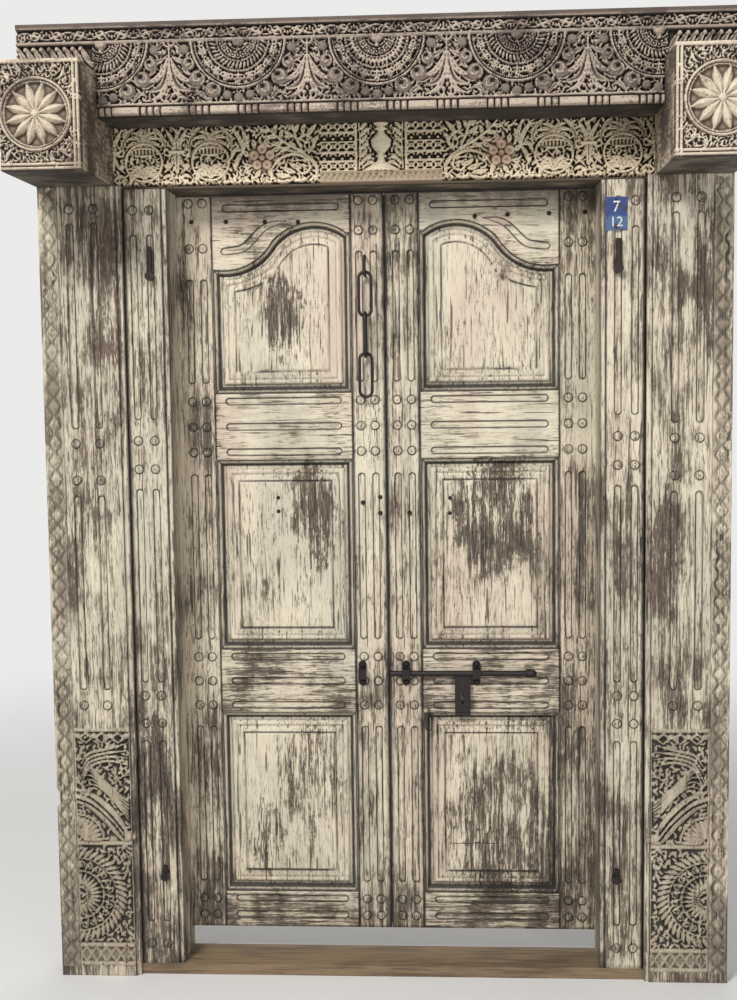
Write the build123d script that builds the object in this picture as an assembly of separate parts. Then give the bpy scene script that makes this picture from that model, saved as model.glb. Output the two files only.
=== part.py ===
from build123d import *
from math import atan2, cos, degrees, pi, radians, sin, sqrt
import os

# Carved double door in its frame. Millimetres. X to the right, Y away from the viewer, Z up.
# The origin is on the floor, under the middle of the sill.

# Frame, heights
sill_height = 29
opening_height = 1999
lintel_height = 152
cornice_height = 219
pilaster_rise = 8
block_height = 249

# Frame, widths
opening_width = 1080
jamb_width = 108
jamb_gap = 4
pilaster_width = 208
block_width = 188

# Frame, depths
jamb_depth = 130
pilaster_step = 15
pilaster_depth = 110
frieze_setback = 14
lintel_back = 120
block_reach = 282
cornice_reach = 126
cornice_overhang = 1

# Edge fillets cut along the jambs and pilasters
fillet_width = 12
fillet_depth = 5

# Flutes and turned bosses
flute_width = 19
flute_depth = 4
boss_radius = 10
boss_height = 2.5
boss_taper = 48

# Places of flutes and bosses up a jamb, and the columns they stand in from its inner edge
jamb_columns = (42, 84)
jamb_boss_places = (83, 670, 742, 1327, 1399)
jamb_boss_drop = 52
jamb_flute_places = (142, 625, 776, 1277, 1452)
jamb_flute_drop = 112

# The same on a pilaster, with its carved panels and its lozenge border
pilaster_columns = (68, 129)
pilaster_boss_places = (720, 1301, 1394)
pilaster_boss_drop = 56
pilaster_flute_places = (760, 1262, 1431)
pilaster_flute_drop = 90
plume_panel = (355, 655)
rosette_panel = (82, 355)
foot_fillet_place = 32
panel_inset = 14
border_width = 48
lozenge_length = 46
lozenge_end = 40
chip = (7, 48)
chip_place = 452

# Leaves
leaf_thickness = 44
leaf_overlap = 47
leaf_bottom = 79
leaf_head_clearance = 6
leaf_gap = 4
leaf_back_clearance = 1
hinge_stile_sight = 92
meeting_stile_width = 86
sticking_width = 14
sticking_step = 4.5
bottom_rail_top = 190
lower_rail = (654, 850)
upper_rail_drops = (694, 495)
tenon_length = 58
tenon_thickness = 14
tenon_shoulder = 32
panel_setback = 18
panel_tongue = 8
tongue_thickness = 10
groove_play = 1
panel_back = 36
field_margin_x = 44
field_margin_z = 46
field_rise = 11
field_step = 5

# Ogee under the top rail: peak near the meeting stile, valley at the hinge stile.
# Runs are from the sides of the opening and drops from the top of the leaf.
ogee_peak_run = 81
ogee_peak_drop = 81
ogee_end_drop = 109
ogee_valley_run = 19
ogee_valley_drop = 201

# Swan-neck flute above the ogee: its upper and lower edges, from the opening's hinge side
# and the top of the leaf
swan_upper = ((-183, -65), (-142, -65), (-116, -76), (-91, -103), (-66, -123), (-19, -131))
swan_lower = ((-19, -150), (-62, -144), (-88, -130), (-113, -103), (-137, -82), (-183, -65))

# Flutes and bosses of the leaf: columns from the pivot and from the meeting edge,
# rows from the edges of the rails and from the top of the leaf
hinge_stile_columns = (94, 58)
meeting_stile_columns = (27, 64)
rail_row_inset = 33
top_row_drop = 16
top_flute_drop = 30
second_row_drops = (132, 92)
stile_flute_low = 14
stile_flute_high = 24
top_flute_ends = (211, 144)
rail_flute_inset = 14

# Battens on the back of each leaf, and the nails that hold them
batten_height = 62
batten_thickness = 24
middle_batten_drop = 111
top_batten_drop = 64
batten_inset = 12
nail_head_radius = 6.5
nail_head_height = 4
nail_shank = 5
nail_bite = 20

# Each nail's distance from the pivot, the meeting edge or the opening's hinge side,
# and its height over the middle of its batten
left_top_nails = ((65, 1), (156, 0), (257, -2), (343, -4))
left_edge_nails = ((61, 9), (16, 23), (16, -19))
left_panel_nails = ((147, 23), (147, -13))
right_top_nails = ((332, 2), (248, 5), (143, 6), (52, 7))
right_edge_nails = ((57, -19),)
right_panel_nails = ((270, 19), (270, -21))

# Iron pivot pins in a bored lintel and in socket blocks behind the jamb feet
pin_radius = 10
pin_clearance = 0.05
pin_in_stile = 60
pin_in_socket = 30
socket_play = 1
socket_height = 74
socket_width = 90
socket_depth = 50

# Old iron pintles left in the jambs
pintle_inset = 42
pintle_upper_drop = 216
pintle_lower_place = 268
pintle_stub_radius = 11
pintle_stub_reach = 20
pintle_tang = 24
pintle_peg_radius = 6.5
pintle_peg_heights = (62, 16)

# Enamel number plate on the right jamb
plate_size = (54, 81)
plate_inset = 37
plate_drop = 83
plate_thickness = 2
plate_nail_spacing = 68
plate_nail_radius = 3
plate_nail_bite = 8

# Chain on the left leaf
chain_inset = 48
chain_drop = 196
chain_stand = 24
link_length = 120
link_width = 40
link_wire = 8
link_play = 0.3
staple_rise = 48
staple_bite = 20
staple_reach = 12

# Sliding bolt on the right leaf, drawn back by bolt_travel from where it locks the leaves
rod_radius = 7.5
rod_stand = 12
rod_rise = 120
rod_left = 4
rod_length = 354
knob_length = 29
knob_radius = 11
bolt_travel = 115
guide_places = (-70, 45, 230)
guide_width = 21
guide_height = 66
guide_strap = 5
guide_play = 0.3
keeper_play = 1
guide_bolt_spacing = 47
guide_bolt_radius = 4
guide_head_radius = 8
guide_head_height = 5
hasp_width = 41
hasp_drop = 112
hasp_thickness = 5
hasp_offset = 13
hasp_slot = (8, 26)
hasp_slot_drop = 68

# Small drop link hanging from an eye at the foot of the lower lock rail
drop_link_run = 2
drop_link_rise = 7
drop_link_length = 48
drop_link_width = 20
drop_link_wire = 3.5
drop_link_stand = 3.4
eye_wire = 3
eye_rise = 16
eye_bite = 17

# Carving
carve_embed = 1
petal_count = 12
block_fillet = 9
rosette_margin = 3
rosette_rise = 127
rosette_height = 8
medallion_radius = 112
medallion_end = 14
cornice_lip = 15
cornice_fillet = 5
vine_band = 45
vine_wave = 47
roll_radius = 11
roll_rise = 13
foot_fillet_rise = 26
frieze_rise = 8
roundel_radius = 62
lattice_pitch = 22

# Planes and edges that follow from the sizes above
lintel_bottom = sill_height + opening_height
pilaster_top = lintel_bottom + pilaster_rise
cornice_bottom = lintel_bottom + lintel_height
block_top = pilaster_top + block_height
cornice_top = cornice_bottom + cornice_height
jamb_front = -jamb_depth / 2
jamb_back = jamb_depth / 2
pilaster_front = jamb_front - pilaster_step
pilaster_back = pilaster_front + pilaster_depth
frieze_front = jamb_front + frieze_setback
block_front = pilaster_front - block_reach
cornice_front = pilaster_front - cornice_reach
jamb_inner = opening_width / 2
jamb_outer = jamb_inner + jamb_width
pilaster_inner = jamb_outer + jamb_gap
pilaster_outer = pilaster_inner + pilaster_width
block_inner = pilaster_outer - block_width
leaf_front = jamb_back + leaf_back_clearance
leaf_back = leaf_front + leaf_thickness
leaf_top = lintel_bottom - leaf_head_clearance
leaf_edge = leaf_gap / 2
pivot_x = jamb_inner + leaf_overlap - leaf_thickness / 2
pivot_y = leaf_front + leaf_thickness / 2
hinge_shoulder = jamb_inner - hinge_stile_sight
meeting_shoulder = leaf_edge + meeting_stile_width
opening_hinge = hinge_shoulder - sticking_width
opening_meeting = meeting_shoulder + sticking_width
upper_rail = (leaf_top - upper_rail_drops[0], leaf_top - upper_rail_drops[1])
ogee_peak = (opening_meeting + ogee_peak_run, leaf_top - ogee_peak_drop)
ogee_end = leaf_top - ogee_end_drop
ogee_valley = (opening_hinge - ogee_valley_run, leaf_top - ogee_valley_drop)
hinge_columns = [pivot_x - x for x in hinge_stile_columns]
meeting_columns = [leaf_edge + x for x in meeting_stile_columns]
top_batten_place = leaf_top - top_batten_drop
middle_batten_place = upper_rail[0] - middle_batten_drop
field_front = leaf_front + panel_setback - field_rise
pintle_x = jamb_inner + pintle_inset
pintle_places = (lintel_bottom - pintle_upper_drop, pintle_lower_place)
chain_x = -leaf_edge - chain_inset
chain_y = leaf_front - chain_stand
chain_top = leaf_top - chain_drop
rod_y = leaf_front - rod_stand
rod_level = lower_rail[0] + rod_rise
cornice_end = pilaster_outer + cornice_overhang
medallion_level = cornice_top - vine_band
medallion_pitch = (block_inner - medallion_end) / 2
rosette_radius = (block_width - 2 * block_fillet - 2 * rosette_margin) / 2
rosette_centre = (pilaster_outer - rosette_margin - rosette_radius, pilaster_top + rosette_rise)


def front(y):
    "Plane that faces the viewer at depth y: its x is X and its y is Z."
    return Plane(origin=(0, y, 0), x_dir=(1, 0, 0), z_dir=(0, -1, 0))


def block(x, y, z):
    "Box between the two values given for each axis."
    size = [pair[1] - pair[0] for pair in (x, y, z)]
    middle = [(pair[0] + pair[1]) / 2 for pair in (x, y, z)]
    return Pos(*middle) * Box(*size)


def rect(x, z):
    "Rectangle in the front view, between two values for each axis."
    return Pos((x[0] + x[1]) / 2, (z[0] + z[1]) / 2) * Rectangle(x[1] - x[0], z[1] - z[0])


def slab(outline, y, thickness):
    "Board of a front outline, from its face at y back by its thickness."
    return extrude(front(y) * outline, amount=-thickness)


def raised(outline, y, height, taper=0):
    "Relief of a front outline, standing out of the face at y."
    return extrude(front(y + carve_embed) * outline, amount=height + carve_embed, taper=taper)


def upright_flute(x, z):
    "Outline of a round-ended flute that runs up the face."
    return Pos(x, (z[0] + z[1]) / 2) * SlotOverall(z[1] - z[0], flute_width, rotation=90)


def level_flute(x, z):
    "Outline of a round-ended flute that runs across the face."
    return Pos((x[0] + x[1]) / 2, z) * SlotOverall(x[1] - x[0], flute_width)


def flute_cut(outlines, y):
    "Grooves of the given outlines, cut into the face at y."
    return [slab(outline, y, flute_depth) for outline in outlines]


def bosses(places, y):
    "Low turned bosses on the face at y."
    return [extrude(front(y) * (Pos(x, z) * Circle(boss_radius)), amount=boss_height, taper=boss_taper)
            for x, z in places]


def mirrored(part):
    "The same piece for the other side of the door."
    return mirror(part, about=Plane.YZ)


def polyhedron(points, faces):
    "Closed solid from its corners and its flat faces."
    sides = [Face(Wire.make_polygon([points[i] for i in face], close=True)) for face in faces]
    return Solid(Shell(sides))


def petal(y, centre, angle, start, end, width, height):
    "Ridged pointed petal on the face at y, from radius start to radius end about a centre."
    along = (cos(radians(angle)), sin(radians(angle)))
    across = (-along[1], along[0])

    def at(r, side, rise):
        x = centre[0] + along[0] * r + across[0] * side
        z = centre[1] + along[1] * r + across[1] * side
        return (x, y - rise, z)

    widest = start + (end - start) * 0.5
    corners = [at(start, 0, -carve_embed), at(widest, -width / 2, -carve_embed),
               at(end, 0, -carve_embed), at(widest, width / 2, -carve_embed), at(widest, 0, height)]
    return polyhedron(corners, [(0, 1, 2, 3), (0, 1, 4), (1, 2, 4), (2, 3, 4), (3, 0, 4)])


def rosette(y, centre):
    "Twelve ridged petals in a ring, with a bead at the middle."
    step = 360 / petal_count
    rim = raised(Pos(*centre) * (Circle(rosette_radius) - Circle(rosette_radius - 7)), y, 3)
    petals = [petal(y, centre, step * (n + 0.5), 8, rosette_radius - 9, 27, rosette_height)
              for n in range(petal_count)]
    eye = raised(Pos(*centre) * Circle(9), y, rosette_height, 30)
    return [rim, eye] + petals


def lower_half(outline, centre):
    "The part of an outline that lies below its centre."
    reach = 2 * medallion_radius
    return outline & rect((centre[0] - reach, centre[0] + reach), (centre[1] - reach, centre[1]))


def ring_sketch(centre, outer, inner):
    return Pos(*centre) * (Circle(outer) - Circle(inner))


def medallion(y, centre, side):
    "Half-round medallion with rings, radial leaves and lobes. side keeps one half, 0 keeps both."
    r = medallion_radius
    pieces = []
    for outer, inner, rise in ((r, r - 9, 7), (r - 36, r - 42, 6), (r - 66, r - 72, 6)):
        pieces.append(raised(lower_half(ring_sketch(centre, outer, inner), centre), y, rise))
    pieces.append(raised(lower_half(Pos(*centre) * Circle(18), centre), y, 8, 20))
    for n in range(9):
        angle = 180 + 20 * (n + 0.5)
        pieces.append(petal(y, centre, angle, r - 37, r - 10, 20, 5))
        pieces.append(petal(y, centre, angle, r - 65, r - 43, 13, 5))
    for angle, size in ((196, 17), (221, 23), (250, 19), (290, 19), (319, 23), (344, 17)):
        x = centre[0] + (r + 8) * cos(radians(angle))
        z = centre[1] + (r + 8) * sin(radians(angle))
        lobe = Pos(x, z) * Circle(size) - Pos(*centre) * Circle(r)
        pieces.append(raised(lobe, y, 5))
    if side:
        limit = centre[0] + side * 3 * r
        keep = block(sorted((centre[0], limit)), (y - 50, y + 50), (centre[1] - 2 * r, centre[1] + r))
        pieces = [piece & keep for piece in pieces]
        pieces = [piece for piece in pieces if piece and piece.volume > 1]
    return pieces


def pendant(y, x, top, bottom):
    "Stem with curling leaves between two medallions."
    stem = petal(y, (x, top), -90, 0, (top - bottom) * 0.62, 16, 7)
    bud = petal(y, (x, bottom), 90, 4, 44, 34, 8)
    leaves = []
    for side in (-1, 1):
        for height, tilt, length, width in ((58, 28, 62, 20), (92, 22, 48, 20), (118, 48, 34, 18)):
            angle = -90 + side * (90 - tilt)
            leaves.append(petal(y, (x, bottom + height), angle, 5, length, width, 7))
    return [stem, bud] + leaves


def make_sill():
    return block((-pilaster_inner, pilaster_inner), (jamb_front, jamb_back), (0, sill_height))


def spans(places):
    "Pairs of neighbouring places: where each flute starts and where it ends."
    return list(zip(places[::2], places[1::2]))


def make_jamb(bare_top_boss=False):
    "Right jamb: a fluted post with its inner edge cut to a fillet."
    post = block((jamb_inner, jamb_outer), (jamb_front, jamb_back), (sill_height, lintel_bottom))
    post -= block((jamb_inner, jamb_inner + fillet_width), (jamb_front, jamb_front + fillet_depth),
                  (sill_height, lintel_bottom))
    columns = [jamb_inner + x for x in jamb_columns]
    top_row = lintel_bottom - jamb_boss_drop
    places = [(x, z) for z in jamb_boss_places + (top_row,) for x in columns]
    if bare_top_boss:
        places.remove((columns[0], top_row))
    flutes = spans(jamb_flute_places + (lintel_bottom - jamb_flute_drop,))
    post -= flute_cut([upright_flute(x, z) for z in flutes for x in columns], jamb_front)
    return post + bosses(places, jamb_front)


def make_pilaster():
    "Right pilaster: flutes above, two carved panels below, lozenge border up the outer edge."
    post = block((pilaster_inner, pilaster_outer), (pilaster_front, pilaster_back), (0, pilaster_top))
    post -= block((pilaster_inner, pilaster_inner + fillet_width),
                  (pilaster_front, pilaster_front + fillet_depth), (0, pilaster_top))
    columns = [pilaster_inner + x for x in pilaster_columns]
    flutes = spans(pilaster_flute_places + (pilaster_top - pilaster_flute_drop,))
    post -= flute_cut([upright_flute(x, z) for z in flutes for x in columns], pilaster_front)
    rows = pilaster_boss_places + (pilaster_top - pilaster_boss_drop,)
    carving = bosses([(x, z) for z in rows for x in columns], pilaster_front)
    border_x = pilaster_outer - border_width / 2
    half = lozenge_length / 2 - 3
    level = lozenge_end + lozenge_length / 2
    while level < pilaster_top - lozenge_length / 2:
        carving.append(petal(pilaster_front, (border_x, level), 90, -half, half, border_width - 18, 4))
        level += lozenge_length
    span = (pilaster_inner + panel_inset, pilaster_outer - border_width)
    for z in (plume_panel[1], plume_panel[0], rosette_panel[0], foot_fillet_place):
        carving.append(raised(rect(span, (z - 4, z + 4)), pilaster_front, 3))
    return post + carving + plume(pilaster_front, span) + half_rosette(pilaster_front, span)


def plume(y, span):
    "Upper carved panel: a curling leaf plume over a quarter fan."
    low, high = plume_panel
    width = span[1] - span[0]
    pieces = []
    for n in range(6):
        pieces.append(petal(y, (span[1], low + 9), 96 + 15 * n, 30, 84, 20, 6))
    root = (span[0] + width * 0.38, (low + high) / 2 - 5)
    for n in range(5):
        pieces.append(petal(y, root, 52 + 18 * n, 20, 110 - 6 * n, 26, 7))
    for n in range(3):
        x = span[0] + width * (n + 0.5) / 3
        pieces.append(petal(y, (x, high - 11), -90, 0, 46, 34, 6))
    return pieces


def half_rosette(y, span):
    "Lower carved panel: rings of leaves about the outer edge."
    centre = (span[1], sum(rosette_panel) / 2)
    outside = (span[1] - span[0]) - 24
    inside = outside * 0.54
    pieces = []
    for n in range(9):
        angle = 90 + 20 * (n + 0.5)
        pieces.append(petal(y, centre, angle, inside, outside - 10, outside * 0.25, 6))
        pieces.append(petal(y, centre, angle, inside * 0.3, inside - 8, inside * 0.23, 6))
    window = rect(span, (centre[1] - outside, centre[1] + outside))
    for radius in (inside, outside):
        pieces.append(raised(ring_sketch(centre, radius, radius - 8) & window, y, 5))
    return pieces


def pivot_bore():
    "Blind bore in the lintel for a top pivot pin."
    return Pos(pivot_x, pivot_y, lintel_bottom) * Cylinder(
        pin_radius + pin_clearance,
        pin_in_socket + socket_play,
        align=(Align.CENTER, Align.CENTER, Align.MIN),
    )


def make_lintel():
    "Frieze beam on the jambs, with shoulders on the pilasters, between the corner blocks."
    beam = block(
        (-pilaster_inner, pilaster_inner), (frieze_front, lintel_back), (lintel_bottom, cornice_bottom)
    )
    beam += block((-block_inner, block_inner), (frieze_front, lintel_back), (pilaster_top, cornice_bottom))
    bore = pivot_bore()
    beam -= bore + mirrored(bore)
    return beam + frieze_carving(frieze_front)


def frieze_carving(y):
    "Roundels, roses, lattice panels and a vase across the frieze."
    middle = (lintel_bottom + cornice_bottom) / 2 + frieze_rise
    bay = block_inner / 8
    pieces = []
    for side in (-1, 1):
        for x in (bay * 5, bay * 7):
            centre = (side * x, middle)
            pieces.append(raised(ring_sketch(centre, roundel_radius, roundel_radius - 7), y, 5))
            for n in range(6):
                pieces.append(petal(y, centre, 60 * n, 6, roundel_radius - 10, 24, 6))
        centre = (side * bay * 3.54, middle - 8)
        for n in range(5):
            pieces.append(petal(y, centre, 72 * n + 90, 2, 30, 26, 7))
        for angle, length in ((60, 62), (120, 62), (-60, 62), (-120, 58)):
            pieces.append(petal(y, (side * bay * 2.55, middle), angle, 4, length, 26, 6))
        for row in range(5):
            z = middle + 26 * (row - 2) - 6
            for n in range(4):
                x = bay * 0.86 + lattice_pitch * n
                pieces.append(petal(y, (side * x, z), 90, -11, 11, lattice_pitch - 4, 4))
    right_edge = ((14, -54), (30, -42), (14, -30), (34, -2), (26, 28), (12, 40), (20, 56))
    edge = list(right_edge) + [(-x, z) for x, z in reversed(right_edge)]
    vase = Pos(0, middle) * make_face(Polyline(*edge, close=True))
    pieces.append(raised(vase, y, 8))
    return pieces


def make_cornice():
    "Deep carved head beam, cut back at its ends to sit over the corner blocks."
    beam = block((-block_inner, block_inner), (cornice_front, pilaster_back), (cornice_bottom, block_top))
    beam += block((-cornice_end, cornice_end), (cornice_front, pilaster_back), (block_top, cornice_top))
    pieces = [block((-cornice_end, cornice_end), (cornice_front - 3, cornice_front + carve_embed),
                    (cornice_top - cornice_lip, cornice_top))]
    foot_fillet = cornice_bottom + foot_fillet_rise
    for low, reach in ((medallion_level, cornice_end), (foot_fillet, block_inner)):
        pieces.append(raised(rect((-reach, reach), (low, low + cornice_fillet)), cornice_front, 4))
    roll = Plane.YZ * (Pos(cornice_front + 2, cornice_bottom + roll_rise) * Circle(roll_radius))
    pieces.append(extrude(roll, amount=block_inner, both=True))
    for n in range(-2, 3):
        side = 0 if abs(n) < 2 else -n // 2
        pieces += medallion(cornice_front, (n * medallion_pitch, medallion_level), side)
    for n in (-1.5, -0.5, 0.5, 1.5):
        pieces += pendant(cornice_front, n * medallion_pitch, medallion_level, foot_fillet + cornice_fillet)
    vine_level = (medallion_level + cornice_fillet + cornice_top - cornice_lip) / 2
    count = int(cornice_end / vine_wave)
    for n in range(-count, count):
        tilt = 28 if n % 2 else -28
        centre = ((n + 0.5) * vine_wave, vine_level)
        pieces.append(petal(cornice_front, centre, tilt, -vine_wave / 2, vine_wave / 2, 18, 4))
    return beam + pieces


def make_corner_block():
    "Right corner block: a square-ended beam with a rosette on its end."
    body = block((block_inner, pilaster_outer), (block_front, pilaster_back), (pilaster_top, block_top))
    for n in range(2):
        near = block_fillet * n + 1
        far = block_fillet * (n + 1) - 2
        upright = rect((block_inner + near, block_inner + far), (pilaster_top, block_top))
        level = rect(
            (block_inner + 2 * block_fillet, pilaster_outer), (pilaster_top + near, pilaster_top + far)
        )
        body += raised(upright, block_front, 3)
        body += raised(level, block_front, 3)
    return body + rosette(block_front, rosette_centre)


def make_socket():
    "Right socket block behind the jamb foot, with a blind bore for the bottom pin."
    x = (pivot_x - 20, pivot_x - 20 + socket_width)
    shoe = block(x, (jamb_back, jamb_back + socket_depth), (0, socket_height))
    depth = pin_in_socket - (leaf_bottom - socket_height)
    bore = Pos(pivot_x, pivot_y, socket_height) * Cylinder(
        pin_radius + pin_clearance, depth, align=(Align.CENTER, Align.CENTER, Align.MAX))
    return shoe - bore


def make_pin(z):
    return Pos(pivot_x, pivot_y, z[0]) * Cylinder(
        pin_radius, z[1] - z[0], align=(Align.CENTER, Align.CENTER, Align.MIN))


def ogee_opening():
    "Outline of the upper panel opening, under the ogee."
    peak_x, peak_z = ogee_peak
    valley_x, valley_z = ogee_valley
    run = peak_x - opening_meeting
    drop = peak_z - ogee_end
    hill = (run ** 2 + drop ** 2) / (2 * drop)
    across = valley_x - peak_x
    rise = valley_z - (peak_z - hill)
    dale = (across ** 2 + rise ** 2 - hill ** 2) / (2 * (hill - rise))
    hill_centre = Vector(peak_x, peak_z - hill)
    dale_centre = Vector(valley_x, valley_z + dale)
    turn = hill_centre + (dale_centre - hill_centre) * (hill / (hill + dale))
    side_z = dale_centre.Y - sqrt(dale ** 2 - (opening_hinge - valley_x) ** 2)
    base = upper_rail[1]
    outline = [Line((opening_meeting, base), (opening_hinge, base)),
               Line((opening_hinge, base), (opening_hinge, side_z)),
               ThreePointArc((opening_hinge, side_z), (valley_x, valley_z), (turn.X, turn.Y)),
               ThreePointArc((turn.X, turn.Y), (peak_x, peak_z), (opening_meeting, ogee_end)),
               Line((opening_meeting, ogee_end), (opening_meeting, base))]
    return make_face(Curve() + outline), side_z


def sticking_strips(low, hinge_high, meeting_high):
    "Mitred strips of the stiles beside one panel opening, as front outlines."
    w = sticking_width
    hinge = make_face(Polyline((hinge_shoulder, low - w), (opening_hinge, low),
                               (opening_hinge, hinge_high), (hinge_shoulder, hinge_high + w), close=True))
    meeting = make_face(Polyline((meeting_shoulder, low - w), (opening_meeting, low),
                                 (opening_meeting, meeting_high), (meeting_shoulder, meeting_high + w),
                                 close=True))
    return hinge, meeting


def tenon(x, z):
    middle = leaf_front + leaf_thickness / 2
    return block(x, (middle - tenon_thickness / 2, middle + tenon_thickness / 2), z)


def make_leaf():
    "Woodwork of the right leaf: stiles, rails and raised panels, by name."
    ogee, ogee_side = ogee_opening()
    side = (opening_meeting, opening_hinge)
    openings = {"lower": rect(side, (bottom_rail_top, lower_rail[0])),
                "middle": rect(side, (lower_rail[1], upper_rail[0])),
                "upper": ogee}
    tops = {"lower": (lower_rail[0], lower_rail[0]), "middle": (upper_rail[0], upper_rail[0]),
            "upper": (ogee_side, ogee_end)}
    lows = {"lower": bottom_rail_top, "middle": lower_rail[1], "upper": upper_rail[1]}
    rails = {"bottom_rail": (leaf_bottom, bottom_rail_top), "lower_lock_rail": lower_rail,
             "upper_lock_rail": upper_rail, "top_rail": (ogee_valley[1] - 2, leaf_top)}

    grooves = []
    steps = []
    panels = {}
    for name, outline in openings.items():
        tongue = offset(outline, amount=panel_tongue, kind=Kind.INTERSECTION)
        groove = offset(outline, amount=panel_tongue + groove_play, kind=Kind.INTERSECTION)
        grooves.append(slab(groove, leaf_front + panel_setback, tongue_thickness))
        for n in (1, 2):
            wider = offset(outline, amount=sticking_width * n / 2, kind=Kind.INTERSECTION)
            steps.append(slab(wider, leaf_front, sticking_step * (3 - n)))
        plate = slab(tongue, leaf_front + panel_setback, tongue_thickness)
        drop = -field_margin_z if name == "upper" else 0
        top = leaf_top if name == "upper" else tops[name][0] - field_margin_z
        window = rect((side[0] + field_margin_x, side[1] - field_margin_x),
                      (lows[name] + field_margin_z, top))
        field = (Pos(0, drop) * outline) & window
        wide_field = offset(field, amount=field_step, kind=Kind.INTERSECTION)
        face = leaf_front + panel_setback
        plate += slab(wide_field, face - field_rise / 2, field_rise / 2)
        plate += slab(field, face - field_rise, field_rise)
        plate += slab(wide_field, face + tongue_thickness, panel_back - panel_setback - tongue_thickness)
        panels[name + "_panel"] = plate

    strips = {name: sticking_strips(lows[name], *tops[name]) for name in openings}
    hinge_strips = [slab(pair[0], leaf_front, leaf_thickness) for pair in strips.values()]
    meeting_strips = [slab(pair[1], leaf_front, leaf_thickness) for pair in strips.values()]
    holes = [slab(outline, leaf_front, leaf_thickness) for outline in openings.values()]

    tenons_hinge = []
    tenons_meeting = []
    pieces = {}
    for name, (low, high) in rails.items():
        if name == "top_rail":
            tenon_z = (ogee_end + tenon_shoulder, high - tenon_shoulder / 2)
        else:
            tenon_z = (low + tenon_shoulder, high - tenon_shoulder)
        hinge_tenon = tenon((hinge_shoulder, hinge_shoulder + tenon_length), tenon_z)
        meeting_tenon = tenon((meeting_shoulder - tenon_length, meeting_shoulder), tenon_z)
        tenons_hinge.append(hinge_tenon)
        tenons_meeting.append(meeting_tenon)
        rail = slab(rect((meeting_shoulder, hinge_shoulder), (low, high)), leaf_front, leaf_thickness)
        rail -= holes + hinge_strips + meeting_strips + grooves + steps
        rail += [hinge_tenon, meeting_tenon]
        flutes = rail_flutes(name)
        if name == "top_rail":
            flutes.append(swan_flute())
        pieces[name] = rail - flute_cut(flutes, leaf_front)

    round_edge = Circle(leaf_thickness / 2)
    square_width = pivot_x - hinge_shoulder
    square_part = Pos(-square_width / 2, 0) * Rectangle(square_width, leaf_thickness)
    hinge_plan = Pos(pivot_x, pivot_y) * (round_edge + square_part)
    hinge_stile = extrude(Pos(0, 0, leaf_bottom) * hinge_plan, amount=leaf_top - leaf_bottom)
    hinge_stile += hinge_strips
    hinge_stile -= grooves + steps + tenons_hinge
    meeting_stile = slab(rect((leaf_edge, meeting_shoulder), (leaf_bottom, leaf_top)),
                         leaf_front, leaf_thickness)
    meeting_stile += meeting_strips
    meeting_stile -= grooves + steps + tenons_meeting

    low_pin = make_pin((leaf_bottom - pin_in_socket, leaf_bottom + pin_in_stile))
    high_pin = make_pin((leaf_top - pin_in_stile, lintel_bottom + pin_in_socket))
    hinge_stile -= [low_pin, high_pin]

    lows = [z + stile_flute_low for z in (bottom_rail_top, lower_rail[1], upper_rail[1])]
    highs = [z - stile_flute_high for z in (lower_rail[0], upper_rail[0])]
    hinge_ends, meeting_ends = [highs + [leaf_top - drop] for drop in top_flute_ends]
    hinge_stile -= flute_cut([upright_flute(x, z) for z in zip(lows, hinge_ends)
                              for x in hinge_columns], leaf_front)
    meeting_stile -= flute_cut([upright_flute(x, z) for z in zip(lows, meeting_ends)
                                for x in meeting_columns], leaf_front)
    pieces["hinge_stile"] = hinge_stile
    pieces["meeting_stile"] = meeting_stile
    pieces["top_pivot"] = high_pin
    pieces["bottom_pivot"] = low_pin
    pieces.update(panels)
    for name, level in (("middle_batten", middle_batten_place), ("top_batten", top_batten_place)):
        pieces[name] = block((leaf_edge + batten_inset, pivot_x), (leaf_back, leaf_back + batten_thickness),
                             (level - batten_height / 2, level + batten_height / 2))
    return pieces


def rail_rows(rail):
    "Levels of the three rows of carving along a lock rail."
    low, high = rail
    return [low + rail_row_inset, (low + high) / 2, high - rail_row_inset]


def foot_rows():
    "Levels of the two rows of carving along the bottom rail."
    return [leaf_bottom + rail_row_inset, bottom_rail_top - rail_row_inset]


def rail_flutes(name):
    "Level flutes of one rail, as front outlines."
    span = (opening_meeting + rail_flute_inset, opening_hinge - rail_flute_inset)
    levels = {"bottom_rail": foot_rows(), "lower_lock_rail": rail_rows(lower_rail),
              "upper_lock_rail": rail_rows(upper_rail), "top_rail": [leaf_top - top_flute_drop]}
    return [level_flute(span, z) for z in levels[name]]


def swan_flute():
    "Outline of the flute that curves down over the ogee and tapers to a point at its top."
    edges = [Spline(*swan_upper), Line(swan_upper[-1], swan_lower[0]), Spline(*swan_lower)]
    return Pos(opening_hinge, leaf_top) * make_face(Curve() + edges)


def stile_bosses(columns, levels, skipped=()):
    return bosses([(x, z) for z in levels for x in columns if (x, z) not in skipped], leaf_front)


def side_nails(side, from_pivot, from_edge, from_opening):
    "Nails of one leaf, from the distances given for it."
    faces = [(side * (pivot_x - x), top_batten_place + z) for x, z in from_pivot]
    faces += [(side * (leaf_edge + x), middle_batten_place + z) for x, z in from_edge]
    fields = [(side * (opening_hinge - x), middle_batten_place + z) for x, z in from_opening]
    return make_nails(faces, leaf_front) + make_nails(fields, field_front)


def make_nails(places, y):
    "Rose-headed nails from the face at y through the leaf into its battens."
    half = nail_shank / 2
    reach = leaf_back + nail_bite
    nails = []
    for x, z in places:
        head = extrude(front(y) * (Pos(x, z) * RegularPolygon(nail_head_radius, 6)),
                       amount=nail_head_height, taper=35)
        nails.append(head + block((x - half, x + half), (y, reach), (z - half, z + half)))
    return nails


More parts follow.
